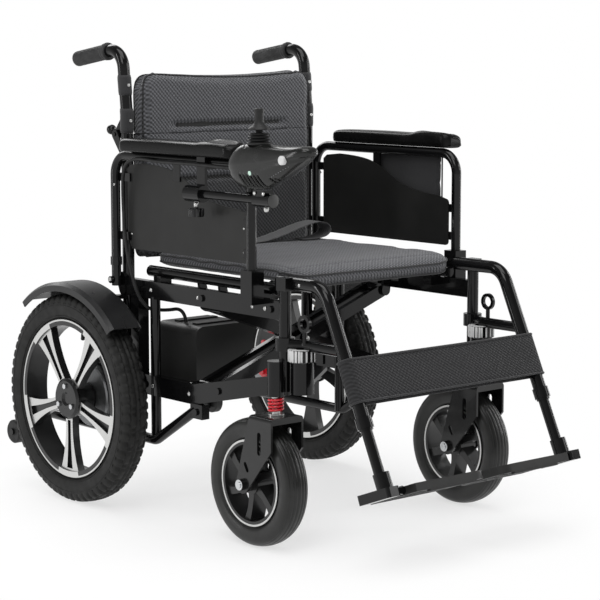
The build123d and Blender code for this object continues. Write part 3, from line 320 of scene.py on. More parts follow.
HUB_RADIUS = 0.026
BACK_CHANNELS = {"upper": 0.753, "lower": 0.646}
CHANNEL_END = 0.135
BLACK = paint()
MOULDED = plastic("moulded_plastic", (0.017, 0.017, 0.0165), 0.46, shine=0.3)
PANEL = plastic("panel_plastic", (0.0115, 0.0115, 0.011), 0.42, 1500, 0.05)
SATIN = plastic("satin_plastic", (0.013, 0.013, 0.0135), 0.32, 1200, 0.05, 0.4)
HEAD = plastic("joystick_shell", (0.0085, 0.0088, 0.0083), 0.24, 1400, 0.03, 0.4)
PAD = plastic("armrest_skin", (0.0035, 0.0035, 0.0035), 0.26, 1000, 0.06, 0.15)
# lighter than the pad skin: a painted highlight for the armrest dish, with a real satin gloss
DISH_HIGHLIGHT = plastic("armrest_dish_highlight", (0.020, 0.020, 0.020), 0.24, 1000, 0.04, 0.7)
TYRE = rubber("tyre_rubber", (0.009, 0.009, 0.0085), 0.55)
CASTER_TYRE = rubber("caster_rubber", (0.010, 0.010, 0.0095), 0.36, 0.4)
RUBBER = rubber("soft_rubber", (0.016, 0.016, 0.016), 0.5)
GRIP = rubber("grip_rubber", (0.026, 0.026, 0.0265), 0.55, 0.3)
RIM = two_tone("machined_rim", AXLE, 0.0202, 0.0242, 0.1557, well=0.1450)
CASTER_RIM = two_tone("machined_caster_rim", CASTER, 1.0, 0.0214, 0.0765)
FORK = with_nuts("fork_paint", CASTER, 0.0098, 0.0385)
HUB = with_nuts("hub_plastic", AXLE, 0.036, 0.0297)
BRASS = metal("brass", (0.60, 0.42, 0.16), 0.3)
ZINC = metal("zinc_plate", (0.60, 0.60, 0.59), 0.3)
CAST = metal("cast_alloy", (0.27, 0.275, 0.28), 0.46, (60, 60, 60))
RED = Mat("red_spring", (0.60, 0.010, 0.022), 0.3, 0.0, Coat_Weight=0.4).vary(40, 0.15, 0.05).mat
WHITE = plastic("pale_plastic", (0.60, 0.60, 0.60), 0.34, 900, 0.05, 0.5)
LED = plastic("lamp_lens", (0.55, 0.78, 0.66), 0.2, 400, 0.02, 0.5)
# near-black for the bottoms of the joystick's vent slots: painted shade
VENT_SHADE = plastic("vent_painted_shade", (0.0015, 0.0015, 0.0015), 0.7, shine=0.05)
GREY = plastic("grey_plastic", (0.22, 0.225, 0.235), 0.45)
GREY_CAP = plastic("end_cap_plastic", (0.055, 0.055, 0.054), 0.4)
CLOTH_SEAT = cloth("seat_cloth", (0.018, 0.0185, 0.021), (0.142, 0.144, 0.157), 0.0056, strength=0.9)
# the back cloth carries painted shade: darker below the lower channel, near-black in the channels' grooves
CLOTH_BACK = cloth("back_cloth", (0.014, 0.0145, 0.0165), (0.114, 0.116, 0.127), 0.0062, ("X", "Z"),
                   seam=BACK_CHANNELS["lower"], shade_channels=[(z, CHANNEL_END) for z in BACK_CHANNELS.values()])
CLOTH_DARK = cloth("calf_cloth", (0.005, 0.005, 0.0055), (0.022, 0.022, 0.024), 0.0066, ("X", "Z"),
                   sheen=0.05)
GUSSET = webbing("gusset_cloth", (0.007, 0.007, 0.008), (0.022, 0.022, 0.024), "Z")
# near-black webbing for the sheets in the back's channels: painted shade
CHANNEL_SHADE = webbing("channel_shade_cloth", (0.003, 0.003, 0.003), (0.009, 0.009, 0.009), "Z")
BELT = webbing("belt_webbing", (0.020, 0.020, 0.021), (0.105, 0.105, 0.108), "Y", 0.0062)


# ---------------------------------------------------------------- mesh helpers
def mesh_object(name, verts, faces, material, smooth=True):
    mesh = bpy.data.meshes.new(name)
    mesh.from_pydata([tuple(v) for v in verts], [], faces)
    mesh.validate()
    obj = bpy.data.objects.new(name, mesh)
    scene.collection.objects.link(obj)
    mesh.materials.append(material)
    if smooth:
        mesh.shade_smooth()
    return obj


def finish_piece(obj, body, slot, *replaced):
    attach(obj, body)
    if replaced:
        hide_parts(*replaced)
    return obj


def bevel(obj, width):
    mod = obj.modifiers.new("edge", "BEVEL")
    mod.width, mod.segments, mod.limit_method = width, 2, "ANGLE"
    mod.angle_limit = math.radians(35)
    mod.harden_normals = False
    return obj


def evaluated(obj):
    """A new mesh: that of obj with its modifiers applied."""
    deps = bpy.context.evaluated_depsgraph_get()
    return bpy.data.meshes.new_from_object(obj.evaluated_get(deps))


def apply(obj):
    """Apply the modifiers of obj to its mesh."""
    mesh = evaluated(obj)
    obj.modifiers.clear()
    obj.data = mesh


def sub(obj):
    mod = obj.modifiers.new("smooth", "SUBSURF")
    mod.levels = mod.render_levels = 1
    apply(obj)
    obj.data.shade_smooth()


def thicken(obj, thick):
    """Give a sheet its thickness."""
    mod = obj.modifiers.new("thick", "SOLIDIFY")
    mod.thickness, mod.offset = thick, 0
    apply(obj)
    obj.data.shade_smooth()


def tree_of(mesh):
    """Ray and nearest-point tree of a mesh."""
    return BVHTree.FromPolygons([v.co for v in mesh.vertices], [tuple(f.vertices) for f in mesh.polygons])


def circle(steps):
    """Cosine and sine at even steps of one turn."""
    turns = (2 * math.pi * i / steps for i in range(steps))
    return [(math.cos(t), math.sin(t)) for t in turns]


def squared(value, power):
    """Value raised to power with its sign kept, which makes a circle squarer."""
    return math.copysign(abs(value) ** power, value)


def part_of(value):
    """Value kept between 0 and 1."""
    return max(0.0, min(1.0, value))


def grid(rows, columns, round_rows=False, round_columns=False):
    """Quads between the points of a grid, row by row; a round one joins its last to its first."""
    faces = []
    for i in range(rows if round_rows else rows - 1):
        k = (i + 1) % rows
        for j in range(columns if round_columns else columns - 1):
            m = (j + 1) % columns
            faces.append((i * columns + j, i * columns + m, k * columns + m, k * columns + j))
    return faces


def revolve(name, profile, centre, axis, material, body, slot, steps=64, closed=False, offset=None,
            replaced=()):
    """A piece turned from (along, radius) points about an axis through centre; offset(step, along, radius) is
    added to a point's radius."""
    along = Vector(axis).normalized()
    across = along.orthogonal().normalized()
    third = along.cross(across)
    verts = []
    for i, (c, v) in enumerate(circle(steps)):
        radial = across * c + third * v
        for a, r in profile:
            grow = offset(i, a, r) if offset else 0.0
            verts.append(Vector(centre) + along * a + radial * (r + grow))
    obj = mesh_object(name, verts, grid(steps, len(profile), True, closed), material)
    finish_piece(obj, body, slot, *replaced)


def bolt(name, centre, axis, radius, height, body, material=ZINC, socket=True, slot="zinc"):
    """Domed screw head standing out along axis, with a recessed drive if socket."""
    r, h = radius, height
    profile = [(-0.0004, 0.0), (-0.0004, r), (h * 0.45, r), (h * 0.8, r * 0.86), (h, r * 0.6)]
    if socket:
        profile += [(h, r * 0.42), (h * 0.45, r * 0.38), (h * 0.45, 0.0)]
    else:
        profile += [(h, 0.0)]
    revolve(name, profile, centre, axis, material, body, slot, 24)


def smooth_curve(points, per=8):
    """Catmull-Rom samples through points, per of them from each point to the next."""
    out = []
    pts = [points[0], *points, points[-1]]
    for i in range(1, len(pts) - 2):
        p0, p1, p2, p3 = (Vector(pts[i + k]) for k in (-1, 0, 1, 2))
        for s in range(per):
            t = s / per
            out.append(
                0.5 * ((2 * p1) + (p2 - p0) * t + (2 * p0 - 5 * p1 + 4 * p2 - p3) * t * t
                       + (3 * p1 - p0 - 3 * p2 + p3) * t * t * t)
            )
    out.append(Vector(points[-1]))
    return [tuple(p) for p in out]


# ---------------------------------------------------------------- materials on the solids
PAINTED = {
    "side_frame": BLACK, "leg_hanger": BLACK, "seat_rail": BLACK, "push_handle": BLACK,
    "armrest_frame": BLACK, "caster_fork": FORK, "footrest_tube": BLACK, "fender": SATIN, "side_panel": PANEL,
    "footplate": MOULDED, "motor": CAST, "clutch_lever": RED, "caster_stem": ZINC, "antitip_wheel": RUBBER,
    "rear_rim": RIM, "hub_cap": HUB, "caster_rim": CASTER_RIM,
}
SINGLE = {
    "cross_brace_a": BLACK, "cross_brace_b": BLACK, "battery_box": MOULDED, "joystick_arm": BLACK,
    "joystick_gimbal": ZINC, "power_button": WHITE,
}


def dress(node, material):
    """Material and rounded edges for a solid that stays in the picture."""
    obj = nodes[node]
    for s in obj.material_slots:
        s.material = material
    if not obj.material_slots:
        obj.data.materials.append(material)
    bevel(obj, 0.0006)


for side in SIDES:
    for kind, material in PAINTED.items():
        dress(f"{kind}_{side}", material)
for node, material in SINGLE.items():
    dress(node, material)


# ---------------------------------------------------------------- fittings on the solids
TREES = {}


def surface(node, start, way):
    """Where a ray first meets a node's mesh, and the normal there."""
    if node not in TREES:
        TREES[node] = tree_of(nodes[node].data)
    return TREES[node].ray_cast(Vector(start), Vector(way))[:2]


def side_bolts():
    """Zinc screw heads on the outer faces of the side frames and their fittings."""
    spots = [
        ("side_frame", "side", -0.246, 0.438, 4.2), ("side_frame", "side", -0.210, 0.438, 3.6),
        ("side_frame", "side", -0.048, 0.438, 3.6), ("side_frame", "side", 0.100, 0.438, 4.0),
        ("side_frame", "side", 0.196, 0.452, 4.4), ("side_frame", "side", -0.020, 0.250, 4.0),
        ("side_frame", "side", -0.230, 0.250, 3.6), ("side_frame", "side", 0.095, 0.250, 4.0),
        ("armrest_frame", "armrest", -0.210, 0.470, 3.4), ("armrest_frame", "armrest", -0.218, 0.640, 2.6),
        ("armrest_frame", "armrest", 0.190, 0.640, 2.6), ("side_panel", "armrest", -0.196, 0.580, 2.2),
        ("side_panel", "armrest", -0.196, 0.536, 2.2), ("side_panel", "armrest", 0.150, 0.545, 2.2),
        ("leg_hanger", "side", -0.330, 0.487, 3.2), ("fender", "side", 0.200, 0.430, 3.4),
    ]
    for side, k in SIDES.items():
        for i, (kind, body, y, z, r) in enumerate(spots):
            hit, normal = surface(f"{kind}_{side}", (k * 0.5, y, z), (-k, 0, 0))
            if hit is None or abs(normal.x) < 0.7:
                continue
            owner = f"{side}_side" if body == "side" else f"armrest_{side}"
            bolt(f"screw_{side}_{i}", hit, (k, 0, 0), r * MM, 0.45 * r * MM, owner)


def brace_bolts():
    """Nuts over the pivot pins at the fronts of the brace's barrels."""
    nut, front = 0.0062, (0, -1, 0)
    for letter, x, z in (("a", -0.218, 0.262), ("a", 0.207, 0.418),
                         ("b", 0.218, 0.262), ("b", -0.207, 0.418)):
        hit, _ = surface(f"cross_brace_{letter}", (x + 0.008, -0.5, z), (0, 1, 0))
        name = f"pin_brace_{letter}_{int(z * 1000)}"
        bolt(name, (x, hit.y - 0.0004, z), front, nut, 0.0035, f"brace_{letter}")
    hit, _ = surface("cross_brace_a", (-0.0055, -0.5, 0.340), (0, 1, 0))
    bolt("pin_middle", hit, front, nut, 0.004, "brace_a")


def stop_collars():
    """Pale fluted knobs on the leg rests' stops."""
    def flute(i, a, r):
        return -0.0012 if i % 4 == 0 and r > 0.02 else 0.0

    profile = mm((348.5, 12), (348.5, 24.2), (350, 25.7), (370, 25.7), (371.5, 24.2), (371.5, 12))
    for side, k in SIDES.items():
        revolve(f"stop_knob_{side}", profile, (k * 0.230, -0.327, 0), (0, 0, 1), WHITE, f"{side}_side",
                "button_silver", 96, offset=flute)


def valves():
    """Inner-tube valve through each rear rim, brass with a black cap."""
    t, rim_radius = math.radians(100), 0.1475
    spoke = Vector((0, math.cos(t), math.sin(t)))
    stem = mm((0, 0), (0, 4), (4, 3.4), (16, 3), (16, 0))
    cap = mm((15.5, 0), (15.5, 4.2), (26, 4), (27.5, 2.8), (27.5, 0))
    for side, k in SIDES.items():
        root, body = Vector((k * AXLE[0], AXLE[1], AXLE[2])) + spoke * rim_radius, f"wheel_{side}"
        revolve(f"valve_{side}", stem, root, -spoke, BRASS, body, "zinc", 20)
        revolve(f"valve_cap_{side}", cap, root, -spoke, RUBBER, body, "plastic_black", 20)


def grips():
    """Rubber push grips: a flared double collar at the cane, fine rings and a domed end."""
    profile = mm((-55, 12.1), (-55.2, 15), (-54, 17.2), (-51.5, 17.7), (-49, 17), (-47.8, 16), (-46.5, 16.8),
                 (-44.8, 17), (-43.2, 16), (-42, 15.2))
    for i in range(20):
        at = -40 + 4.4 * i
        profile += mm((at, 15.3), (at + 1.1, 14.6), (at + 2.2, 14.6), (at + 3.3, 15.3))
    profile += mm((50, 15.4), (53, 15), (54.6, 13.6), (55.2, 10), (55.3, 0))
    axis = (0, 0.98899, -0.148012)
    for side, k in SIDES.items():
        revolve(f"push_grip_{side}", profile, (k * CANE_X, 0.3055, 0.89026), axis, GRIP, f"back_{side}",
                "grip_rubber", 48, replaced=[f"handle_grip_{side}"])


def cane_sleeves():
    """Cloth loops of the back, closed round each cane with a press stud."""
    radius, levels = 0.0135, 8
    for side, k in SIDES.items():
        x, body = k * CANE_X, f"back_{side}"
        for tag, low, high in (("top", 0.813, 0.852), ("low", 0.7395, 0.787)):
            rows = []
            for i in range(levels + 1):
                z = low + (high - low) * i / levels
                y = 0.194 + max(0.0, z - 0.775) * 0.1
                r = radius - (0.0008 if i in (0, levels) else 0.0)
                row = []
                for c, v in circle(26):
                    ripple = 0.0005 * noise.noise(Vector((c * 3 + x, v * 3, z * 60)))
                    row.append(Vector((x + (r + ripple) * c, y + (r + ripple) * v, z)))
                rows.append(row)
                if i == levels // 2:
                    middle = (x, y - 0.0134, z)
            finish_piece(slab(f"cane_sleeve_{tag}_{side}", rows, GUSSET), body, "webbing")
            bolt(f"press_stud_{tag}_{side}", middle, (0, -1, 0), 0.0034, 0.0012, body)


# ---------------------------------------------------------------- joystick
def joystick_head():
    """Smooth moulded shell over the control box: domed deck, long nose, slotted belly."""
    cx, body = STICK[0], "armrest_right"
    stations = mm(
        (-225.5, 709, 692, 10.5), (-229, 715, 681, 18), (-237, 723.5, 670.5, 23.2),
        (-249, 732.5, 663.5, 26.2), (-264, 738.8, 660.2, 27.6), (-285, 740.7, 659, 27.9),
        (-308, 740.8, 660, 27.9), (-328, 740, 664, 27.9), (-348, 739, 672.5, 27.8),
        (-372, 738.6, 684, 27.2), (-396, 739.6, 697.5, 25.8), (-415, 740.5, 708.5, 23.2),
        (-428, 739.8, 717, 19), (-436, 736, 722, 12.8), (-439.6, 730.8, 726.2, 6)
    )
    rows = []
    for y, top, low, w in smooth_curve(stations):
        row = []
        zc, h = (top + low) / 2, (top - low) / 2
        for c, v in circle(56):
            sx, sz = squared(c, 0.60), squared(v, 0.66)
            narrow = 1 - 0.34 * max(0.0, -sz) ** 1.4 - 0.10 * max(0.0, sz) ** 2
            row.append(Vector((cx + w * sx * narrow, y, zc + h * sz)))
        rows.append(row)
    obj = slab("joystick_shell", rows, HEAD)
    sub(obj)

    def vent(p, n):
        """How deep in one of the flanks' slanted slots a point lies, 0 to 1."""
        slant = p.y + (0.689 - p.z) * 0.45
        for start, count, low, high in ((-0.268, 6, 0.6615, 0.6870), (-0.3440, 4, 0.6690, 0.6830)):
            t = (start - slant) / 0.0098
            if -0.5 < t < count - 0.5 and low < p.z < high and abs(n.x) > 0.15:
                return groove(t - round(t), 0.0, 0.36) * min(1.0, min(p.z - low, high - p.z) / 0.003)
        return 0.0

    def shape(p, n):
        d = -0.0065 * vent(p, n)
        if abs(n.x) > 0.35:
            # flank crease rising to the nose
            d -= 0.0013 * groove(p.z, 0.688 + (-0.235 - p.y) * 0.165, 0.0045)
        if n.z > 0.6:
            # ring round the bellows
            d -= 0.0012 * groove(math.hypot(p.x - cx, p.y - STICK[1]), 0.0262, 0.0016)
        return d

    # painted shade: faces deep in the vent slots get the near-black material
    obj.data.materials.append(VENT_SHADE)
    for face in obj.data.polygons:
        if vent(face.center, face.normal) > 0.35:
            face.material_index = 1
    push(obj, shape)
    finish_piece(obj, body, "plastic_black", "joystick_housing")
    tree = tree_of(obj.data)

    def on_flank(name, y, z, radius, height, material, slot):
        hit, normal, _, _ = tree.ray_cast(Vector((cx - 0.1, y, z)), Vector((1, 0, 0)))
        bolt(name, hit - normal * 0.0002, normal, radius, height, body, material, False, slot)

    on_flank("charge_lamp", -0.299, 0.6895, 0.0042, 0.0012, LED, "button_silver")
    for i in range(8):
        y, z = -0.352 - 0.0062 * i, 0.6855 + 0.0028 * i
        on_flank(f"belly_dot_{i}", y, z, 0.0008, 0.0008, GREY, "plastic_black")
    # bellows under the stick
    profile = mm((738.5, 21.4), (740.5, 22), (742.5, 21.2), (743.8, 15.6), (745, 15.4), (746.4, 20.4),
                 (747.8, 20.4), (749, 15.2), (750.2, 15), (751.6, 19.8), (753, 19.8), (754.2, 14.8),
                 (755.4, 14.6), (756.8, 18.4), (758, 18.2), (758.8, 15), (759, 9))
    axle = ((cx, STICK[1], 0), (0, 0, 1))
    revolve("stick_bellows", smooth_curve(profile, 3), *axle, RUBBER, body, "grip_rubber")
    # knob: flared skirt below a waisted shaft, heights above its pivot
    foot = mm((4, 0), (4, 5.8), (15, 6), (18.6, 7), (18.8, 18.8))
    shaft = mm((19, 19.4), (20.6, 19), (23.2, 16.4), (26.2, 12.6), (30, 9.6), (34, 8.1), (40, 7.6), (47, 8),
               (53, 8.6), (55.2, 8.2), (56, 6.6))
    knob = [(STICK[2] + a, r) for a, r in [*foot, *smooth_curve(shaft, 4), (0.056, 0.0)]]
    revolve("stick_knob", knob, *axle, RUBBER, "stick", "grip_rubber", replaced=["joystick_stick"])


def joystick_clamp():
    """Bright fasteners and the closed end of the tube under the control box."""
    body, x, z = "armrest_right", -0.290, 0.640
    profile = mm((-0.6, 0), (-0.6, 12.4), (0.6, 12.4), (1.4, 11.4), (1.6, 0))
    revolve("tube_end_disc", profile, (x, -0.319, z), (0, -1, 0), GREY_CAP, body, "plastic_black", 48)
    down, out = (0, 0, -1), (-1, 0, 0)
    for name, centre, axis, r, h in (
        ("end_stem", (x, -0.300, z - 0.0125), down, 0.0046, 0.0085),
        ("clamp_stem", (x, -0.098, z - 0.0150), down, 0.0046, 0.0125),
        ("end_screw_a", (x - 0.0118, -0.306, z + 0.0125), out, 0.0036, 0.0022),
        ("end_screw_b", (x - 0.0118, -0.282, z + 0.0125), out, 0.0036, 0.0022),
    ):
        bolt(name, centre, axis, r, h, body, socket=False)

    def lobes(i, a, r):
        return -0.0016 if i % 6 < 2 and r > 0.012 else 0.0

    profile = mm((-7.5, 4), (-7.5, 13.8), (-5.5, 14.8), (5.5, 14.8), (7.5, 13.8), (7.5, 4))
    revolve("clamp_hand_knob", profile, (x, -0.098, z - 0.035), down, SATIN, body, "plastic_black", 48,
            offset=lobes)


# ---------------------------------------------------------------- tyres
def tyre_profile(half, per):
    """Both halves of a tyre's section from the points of one, in millimetres, rim to crown."""
    ring = smooth_curve(half, per)
    return [(a * MM, r * MM) for a, r in ring + [(-a, r) for a, r in reversed(ring[:-1])]]


def rear_tyre(side, k):
    """Lugged tyre with two raised rings on each wall."""
    half = [(21.6, 151.5), (21.6, 160.6), (25.5, 164), (28.2, 170), (29.6, 178), (29.9, 186), (29.2, 193),
            (27.8, 199), (25.5, 203.5), (21, 207), (15, 208.8), (8, 209.7), (0, 210)]
    blocks, per = 64, 6

    def tread(i, a, r):
        phase, block = i % per, (i // per) % 2
        x, drop = abs(a) / MM, 0.0
        if r > 0.1945:
            if 3.2 < x < 6.2 or 15.5 < x < 18.2:
                drop = 3.2
            elif x >= 18.2 and phase in (0, 1):
                drop = 4.2
            elif 6.2 <= x <= 15.5 and (phase in (3, 4) if block else phase in (0, 1)):
                drop = 2.8
            elif x <= 3.2 and phase == 5:
                drop = 2.4
        elif r > 0.186 and phase == 0:
            drop = 1.2
        return -drop * MM

    centre, body = (k * AXLE[0], AXLE[1], AXLE[2]), f"wheel_{side}"
    revolve(f"tread_{side}", tyre_profile(half, 4), centre, (1, 0, 0), TYRE, body, "tyre_black", blocks * per,
            True, tread, [f"rear_tyre_{side}"])
    wire = 0.7
    for radius, at in ((166.5, 27.4), (188.0, 29.75)):
        for way in (-1, 1):
            loop = [(c * wire * MM + way * at * MM, (radius + wire * v) * MM) for c, v in circle(8)]
            name = f"wall_ring_{side}_{int(radius)}_{'o' if way * k > 0 else 'i'}"
            revolve(name, loop, centre, (1, 0, 0), TYRE, body, "tyre_black", 128, True)


def caster_tyre(side, k):
    """Grooved tyre."""
    half = [(19.4, 75.2), (19.4, 80.9), (23.8, 87), (25.6, 94), (26, 101), (24.6, 108.5), (21, 113.6),
            (15, 116.6), (8, 118.4), (0, 119)]

    def tread(i, a, r):
        x = abs(a) / MM
        return -1.5 * MM if r > 0.112 and (4.0 < x < 6.0 or 11.5 < x < 13.5 or 19.3 < x < 20.8) else 0.0

    centre = (k * CASTER[0], CASTER[1], CASTER[2])
    revolve(f"caster_tread_{side}", tyre_profile(half, 5), centre, (1, 0, 0), CASTER_TYRE, f"caster_{side}",
            "tyre_black", 144, True, tread, [f"caster_tyre_{side}"])


# ---------------------------------------------------------------- soft goods
def slab(name, rows, material):
    """Closed skin over rows of matching closed loops, capped at both ends."""
    count, last = len(rows[0]), (len(rows) - 1) * len(rows[0])
    faces = grid(len(rows), count, False, True)
    faces.append(tuple(reversed(range(count))))
    faces.append(tuple(last + i for i in range(count)))
    obj = mesh_object(name, [p for row in rows for p in row], faces, material)
    bm = bmesh.new()
    bm.from_mesh(obj.data)
    bmesh.ops.recalc_face_normals(bm, faces=bm.faces)
    bm.to_mesh(obj.data)
    bm.free()
    return obj


def outline_loop(x0, x1, y0, y1, corners, step=0.006):
    """Rounded rectangle as points; corners are radii at (x0,y0), (x1,y0), (x1,y1), (x0,y1)."""
    pts = []
    spots = [((x0, y0), 180), ((x1, y0), 270), ((x1, y1), 0), ((x0, y1), 90)]
    for ((x, y), start), r in zip(spots, corners):
        cx = x + r if x == x0 else x - r
        cy = y + r if y == y0 else y - r
        arc = max(3, int(r * math.pi / 2 / step))
        for i in range(arc + 1):
            t = math.radians(start + 90 * i / arc)
            pts.append(Vector((cx + r * math.cos(t), cy + r * math.sin(t), 0)))
    dense = []
    for a, b in zip(pts, pts[1:] + pts[:1]):
        n = max(1, int((b - a).length / step))
        dense += [a.lerp(b, i / n) for i in range(n)]
    return dense


def inflate(obj, voxel, cap, pressure, frames):
    """Blow the closed skin up a little as cloth, keep each point within cap of where it started."""
    remesh = obj.modifiers.new("voxels", "REMESH")
    remesh.mode, remesh.voxel_size = "VOXEL", voxel
    apply(obj)
    mesh = obj.data
    bm = bmesh.new()
    bm.from_mesh(mesh)
    for _ in range(3):
        bmesh.ops.smooth_vert(bm, verts=bm.verts, factor=0.5, use_axis_x=True, use_axis_y=True,
                              use_axis_z=True)
    bm.to_mesh(mesh)
    bm.free()
    cloth_mod = obj.modifiers.new("cloth", "CLOTH")
    settings = cloth_mod.settings
    settings.quality = 5
    settings.use_pressure = True
    settings.uniform_pressure_force = pressure
    settings.tension_stiffness = settings.compression_stiffness = 30
    settings.bending_stiffness = 0.6
    settings.shear_stiffness = 10
    settings.mass = 0.3
    settings.effector_weights.gravity = 0
    cloth_mod.collision_settings.use_collision = False
    for frame_number in range(1, frames + 1):
        scene.frame_set(frame_number)
    moved = [v.co.copy() for v in evaluated(obj).vertices]
    obj.modifiers.clear()
    scene.frame_set(1)
    for v, b in zip(mesh.vertices, moved):
        d = b - v.co
        if d.length > cap:
            d = d.normalized() * cap
        v.co = v.co + d
    mesh.shade_smooth()


def push(obj, rule):
    """Move each point along its normal by rule(point, normal)."""
    normals = [v.normal.copy() for v in obj.data.vertices]
    for v, n in zip(obj.data.vertices, normals):
        v.co += n * rule(v.co, n)
    obj.data.update()


def groove(value, middle, half):
    """1 at the middle of a channel, falling smoothly to 0 at half away from it."""
    t = abs(value - middle) / half
    return 0.0 if t >= 1 else (1 - t * t) ** 2


def welt(name, points, radius, body, material, slot="webbing", closed=True):
    """Piping cord along points, as a round tube of mesh."""
    verts, sides = [], circle(8)
    n = len(points)
    for i, p in enumerate(points):
        before = points[(i - 1) % n] if closed or i else p
        after = points[(i + 1) % n] if closed or i < n - 1 else p
        t = (Vector(after) - Vector(before)).normalized()
        up = Vector((0, 0, 1)) if abs(t.z) < 0.8 else Vector((0, 1, 0))
        a = t.cross(up).normalized()
        b = t.cross(a).normalized()
        verts += [Vector(p) + a * c * radius + b * v * radius for c, v in sides]
    faces = grid(n, len(sides), closed, True)
    if not closed:
        faces.append(tuple(range(len(sides))))
        faces.append(tuple((n - 1) * len(sides) + s for s in reversed(range(len(sides)))))
    return finish_piece(mesh_object(name, verts, faces, material), body, slot)


def hug(points, obj):
    """The same points drawn on to the surface of obj, standing a little proud of it."""
    tree = tree_of(obj.data)
    out = []
    for p in points:
        at, normal, _, _ = tree.find_nearest(p)
        out.append(at + normal * 0.0006)
    for _ in range(3):
        inner = [(a + b * 2 + c) / 4 for a, b, c in zip(out, out[1:], out[2:])]
        out = [out[0], *inner, out[-1]]
    return out


def fold(obj):
    """Give a soft piece a mesh of its own."""
    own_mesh(obj)


# the seat: a thin padded sling cushion with a rolled front edge
SEAT = {"half": 0.2135, "rear": 0.150, "front": -0.285, "low": 0.4813, "top": 0.512}
PIPE, THIN_PIPE = 0.0021, 0.0019  # radii of the piping
HEM = 0.0035  # from the seat's outline to the middle of its piping


def seat_drop(y, upper):
    """How far the rolled front edge's upper or lower face lies below the flat seat at y."""
    ahead = part_of((SEAT["front"] + 0.055 - y) / 0.055)
    return 0.010 * ahead * ahead if upper else 0.0165 * ahead ** 1.5


def seat_cushion():
    s = SEAT
    half = s["half"] - 0.003
    top, low = s["top"] - 0.0045, s["low"] + 0.0015
    rows = []
    for d, z in ((0.006, low), (0.0, low + 0.006), (0.0, top - 0.008), (0.003, top - 0.002), (0.010, top)):
        loop = outline_loop(-half + d, half - d, s["front"] + 0.004 + d, s["rear"] - 0.003 - d,
                            (0.034, 0.034, 0.018, 0.018))
        rows.append([Vector((p.x, p.y, z)) for p in loop])
    obj = slab("seat_pad", rows, CLOTH_SEAT)
    inflate(obj, 0.005, 0.004, 4.0, 20)
    sub(obj)

    def shape(p, n):
        d = 0.0
        if n.z > 0.3:
            # stitched border line along the front and shallow lines by the sides
            d -= 0.0022 * groove(p.y, s["front"] + 0.030, 0.005)
            d -= 0.0014 * groove(min(s["half"] - abs(p.x), s["rear"] - p.y), 0.020, 0.005)
            # creases where the fabric hangs between its rails
            d += 0.0030 * noise.noise(Vector((p.x * 3.2 + p.y * 4, p.y * 20 - p.x * 3, 1.7)))
            d += 0.0016 * noise.noise(Vector((p.x * 10, p.y * 34, 5.1))) * part_of((p.y + 0.10) * 6)
        return d

    push(obj, shape)
    for v in obj.data.vertices:
        v.co.z = min(v.co.z - seat_drop(v.co.y, v.co.z > s["low"] + 0.004), s["top"])
    obj.data.update()
    finish_piece(obj, "rail_right", "cloth_grey", "seat_cushion")
    fold(obj)
    # piping round the upper and lower edges
    loop = outline_loop(-s["half"] + HEM, s["half"] - HEM, s["front"] + HEM, s["rear"] - HEM,
                        (0.036, 0.036, 0.02, 0.02))
    for tag, z in (("top", s["top"] - 0.0085), ("low", s["low"] + 0.0045)):
        pts = hug([Vector((p.x, p.y, z - seat_drop(p.y, tag == "top"))) for p in loop], obj)
        fold(welt(f"seat_piping_{tag}", pts, PIPE, "rail_right", GUSSET, "cloth_grey"))


BACK = {"half": 0.2217, "front": 0.162, "split": 0.738}


def top_dip(x, z):
    """How far the back's upper edge sags in the middle, at height z."""
    return 0.007 * max(0.0, 1 - (x / 0.19) ** 2) * part_of((z - 0.82) / 0.03)


def back_panel(name, low, high, rear, low_radius, high_radius):
    """Half of the padded back, its face towards the seat."""
    half = BACK["half"] - 0.0012
    rows = []
    y0, y1 = BACK["front"] + 0.0030, rear - 0.002
    for d, y in ((0.010, y0), (0.003, y0 + 0.003), (0.0, y0 + 0.010), (0.0, y1 - 0.005), (0.005, y1)):
        loop = outline_loop(-half + d, half - d, low + 0.0015 + min(d, 0.003), high - 0.003 - d,
                            (low_radius, low_radius, high_radius, high_radius))
        rows.append([Vector((p.x, y, p.y - top_dip(p.x, p.y))) for p in loop])
    obj = slab(name, rows, CLOTH_BACK)
    inflate(obj, 0.005, 0.0042, 4.0, 20)
    sub(obj)
    return obj


def cut_flat(obj, z, keep_above):
    """Slice a pad level at z and close it, so that two halves meet in one fold line."""
    bm = bmesh.new()
    bm.from_mesh(obj.data)
    geometry = bm.verts[:] + bm.edges[:] + bm.faces[:]
    cut = bmesh.ops.bisect_plane(bm, geom=geometry, plane_co=(0, 0, z), plane_no=(0, 0, 1),
                                 clear_inner=keep_above, clear_outer=not keep_above)
    edges = [e for e in cut["geom_cut"] if isinstance(e, bmesh.types.BMEdge)]
    bmesh.ops.edgeloop_fill(bm, edges=edges)
    bm.to_mesh(obj.data)
    bm.free()
    obj.data.shade_smooth()


def u_line(edge, start, end, r, side_steps, turn_steps):
    """(x, z) points from start along one side of a pad, round its end and back along the other side."""
    way = 1 if end > start else -1
    turn, run = end - way * r, end - way * r - start
    angles = [math.pi / 2 * i / turn_steps for i in range(turn_steps + 1)]
    return [
        *((-edge, start + run * i / side_steps) for i in range(side_steps)),
        *((-edge + r - r * math.cos(t), turn + way * r * math.sin(t)) for t in angles),
        *((-edge + r + (2 * edge - 2 * r) * i / 40, end) for i in range(1, 40)),
        *((edge - r + r * math.sin(t), turn + way * r * math.cos(t)) for t in angles),
        *((edge, turn - run * i / side_steps) for i in range(1, side_steps + 1)),
    ]


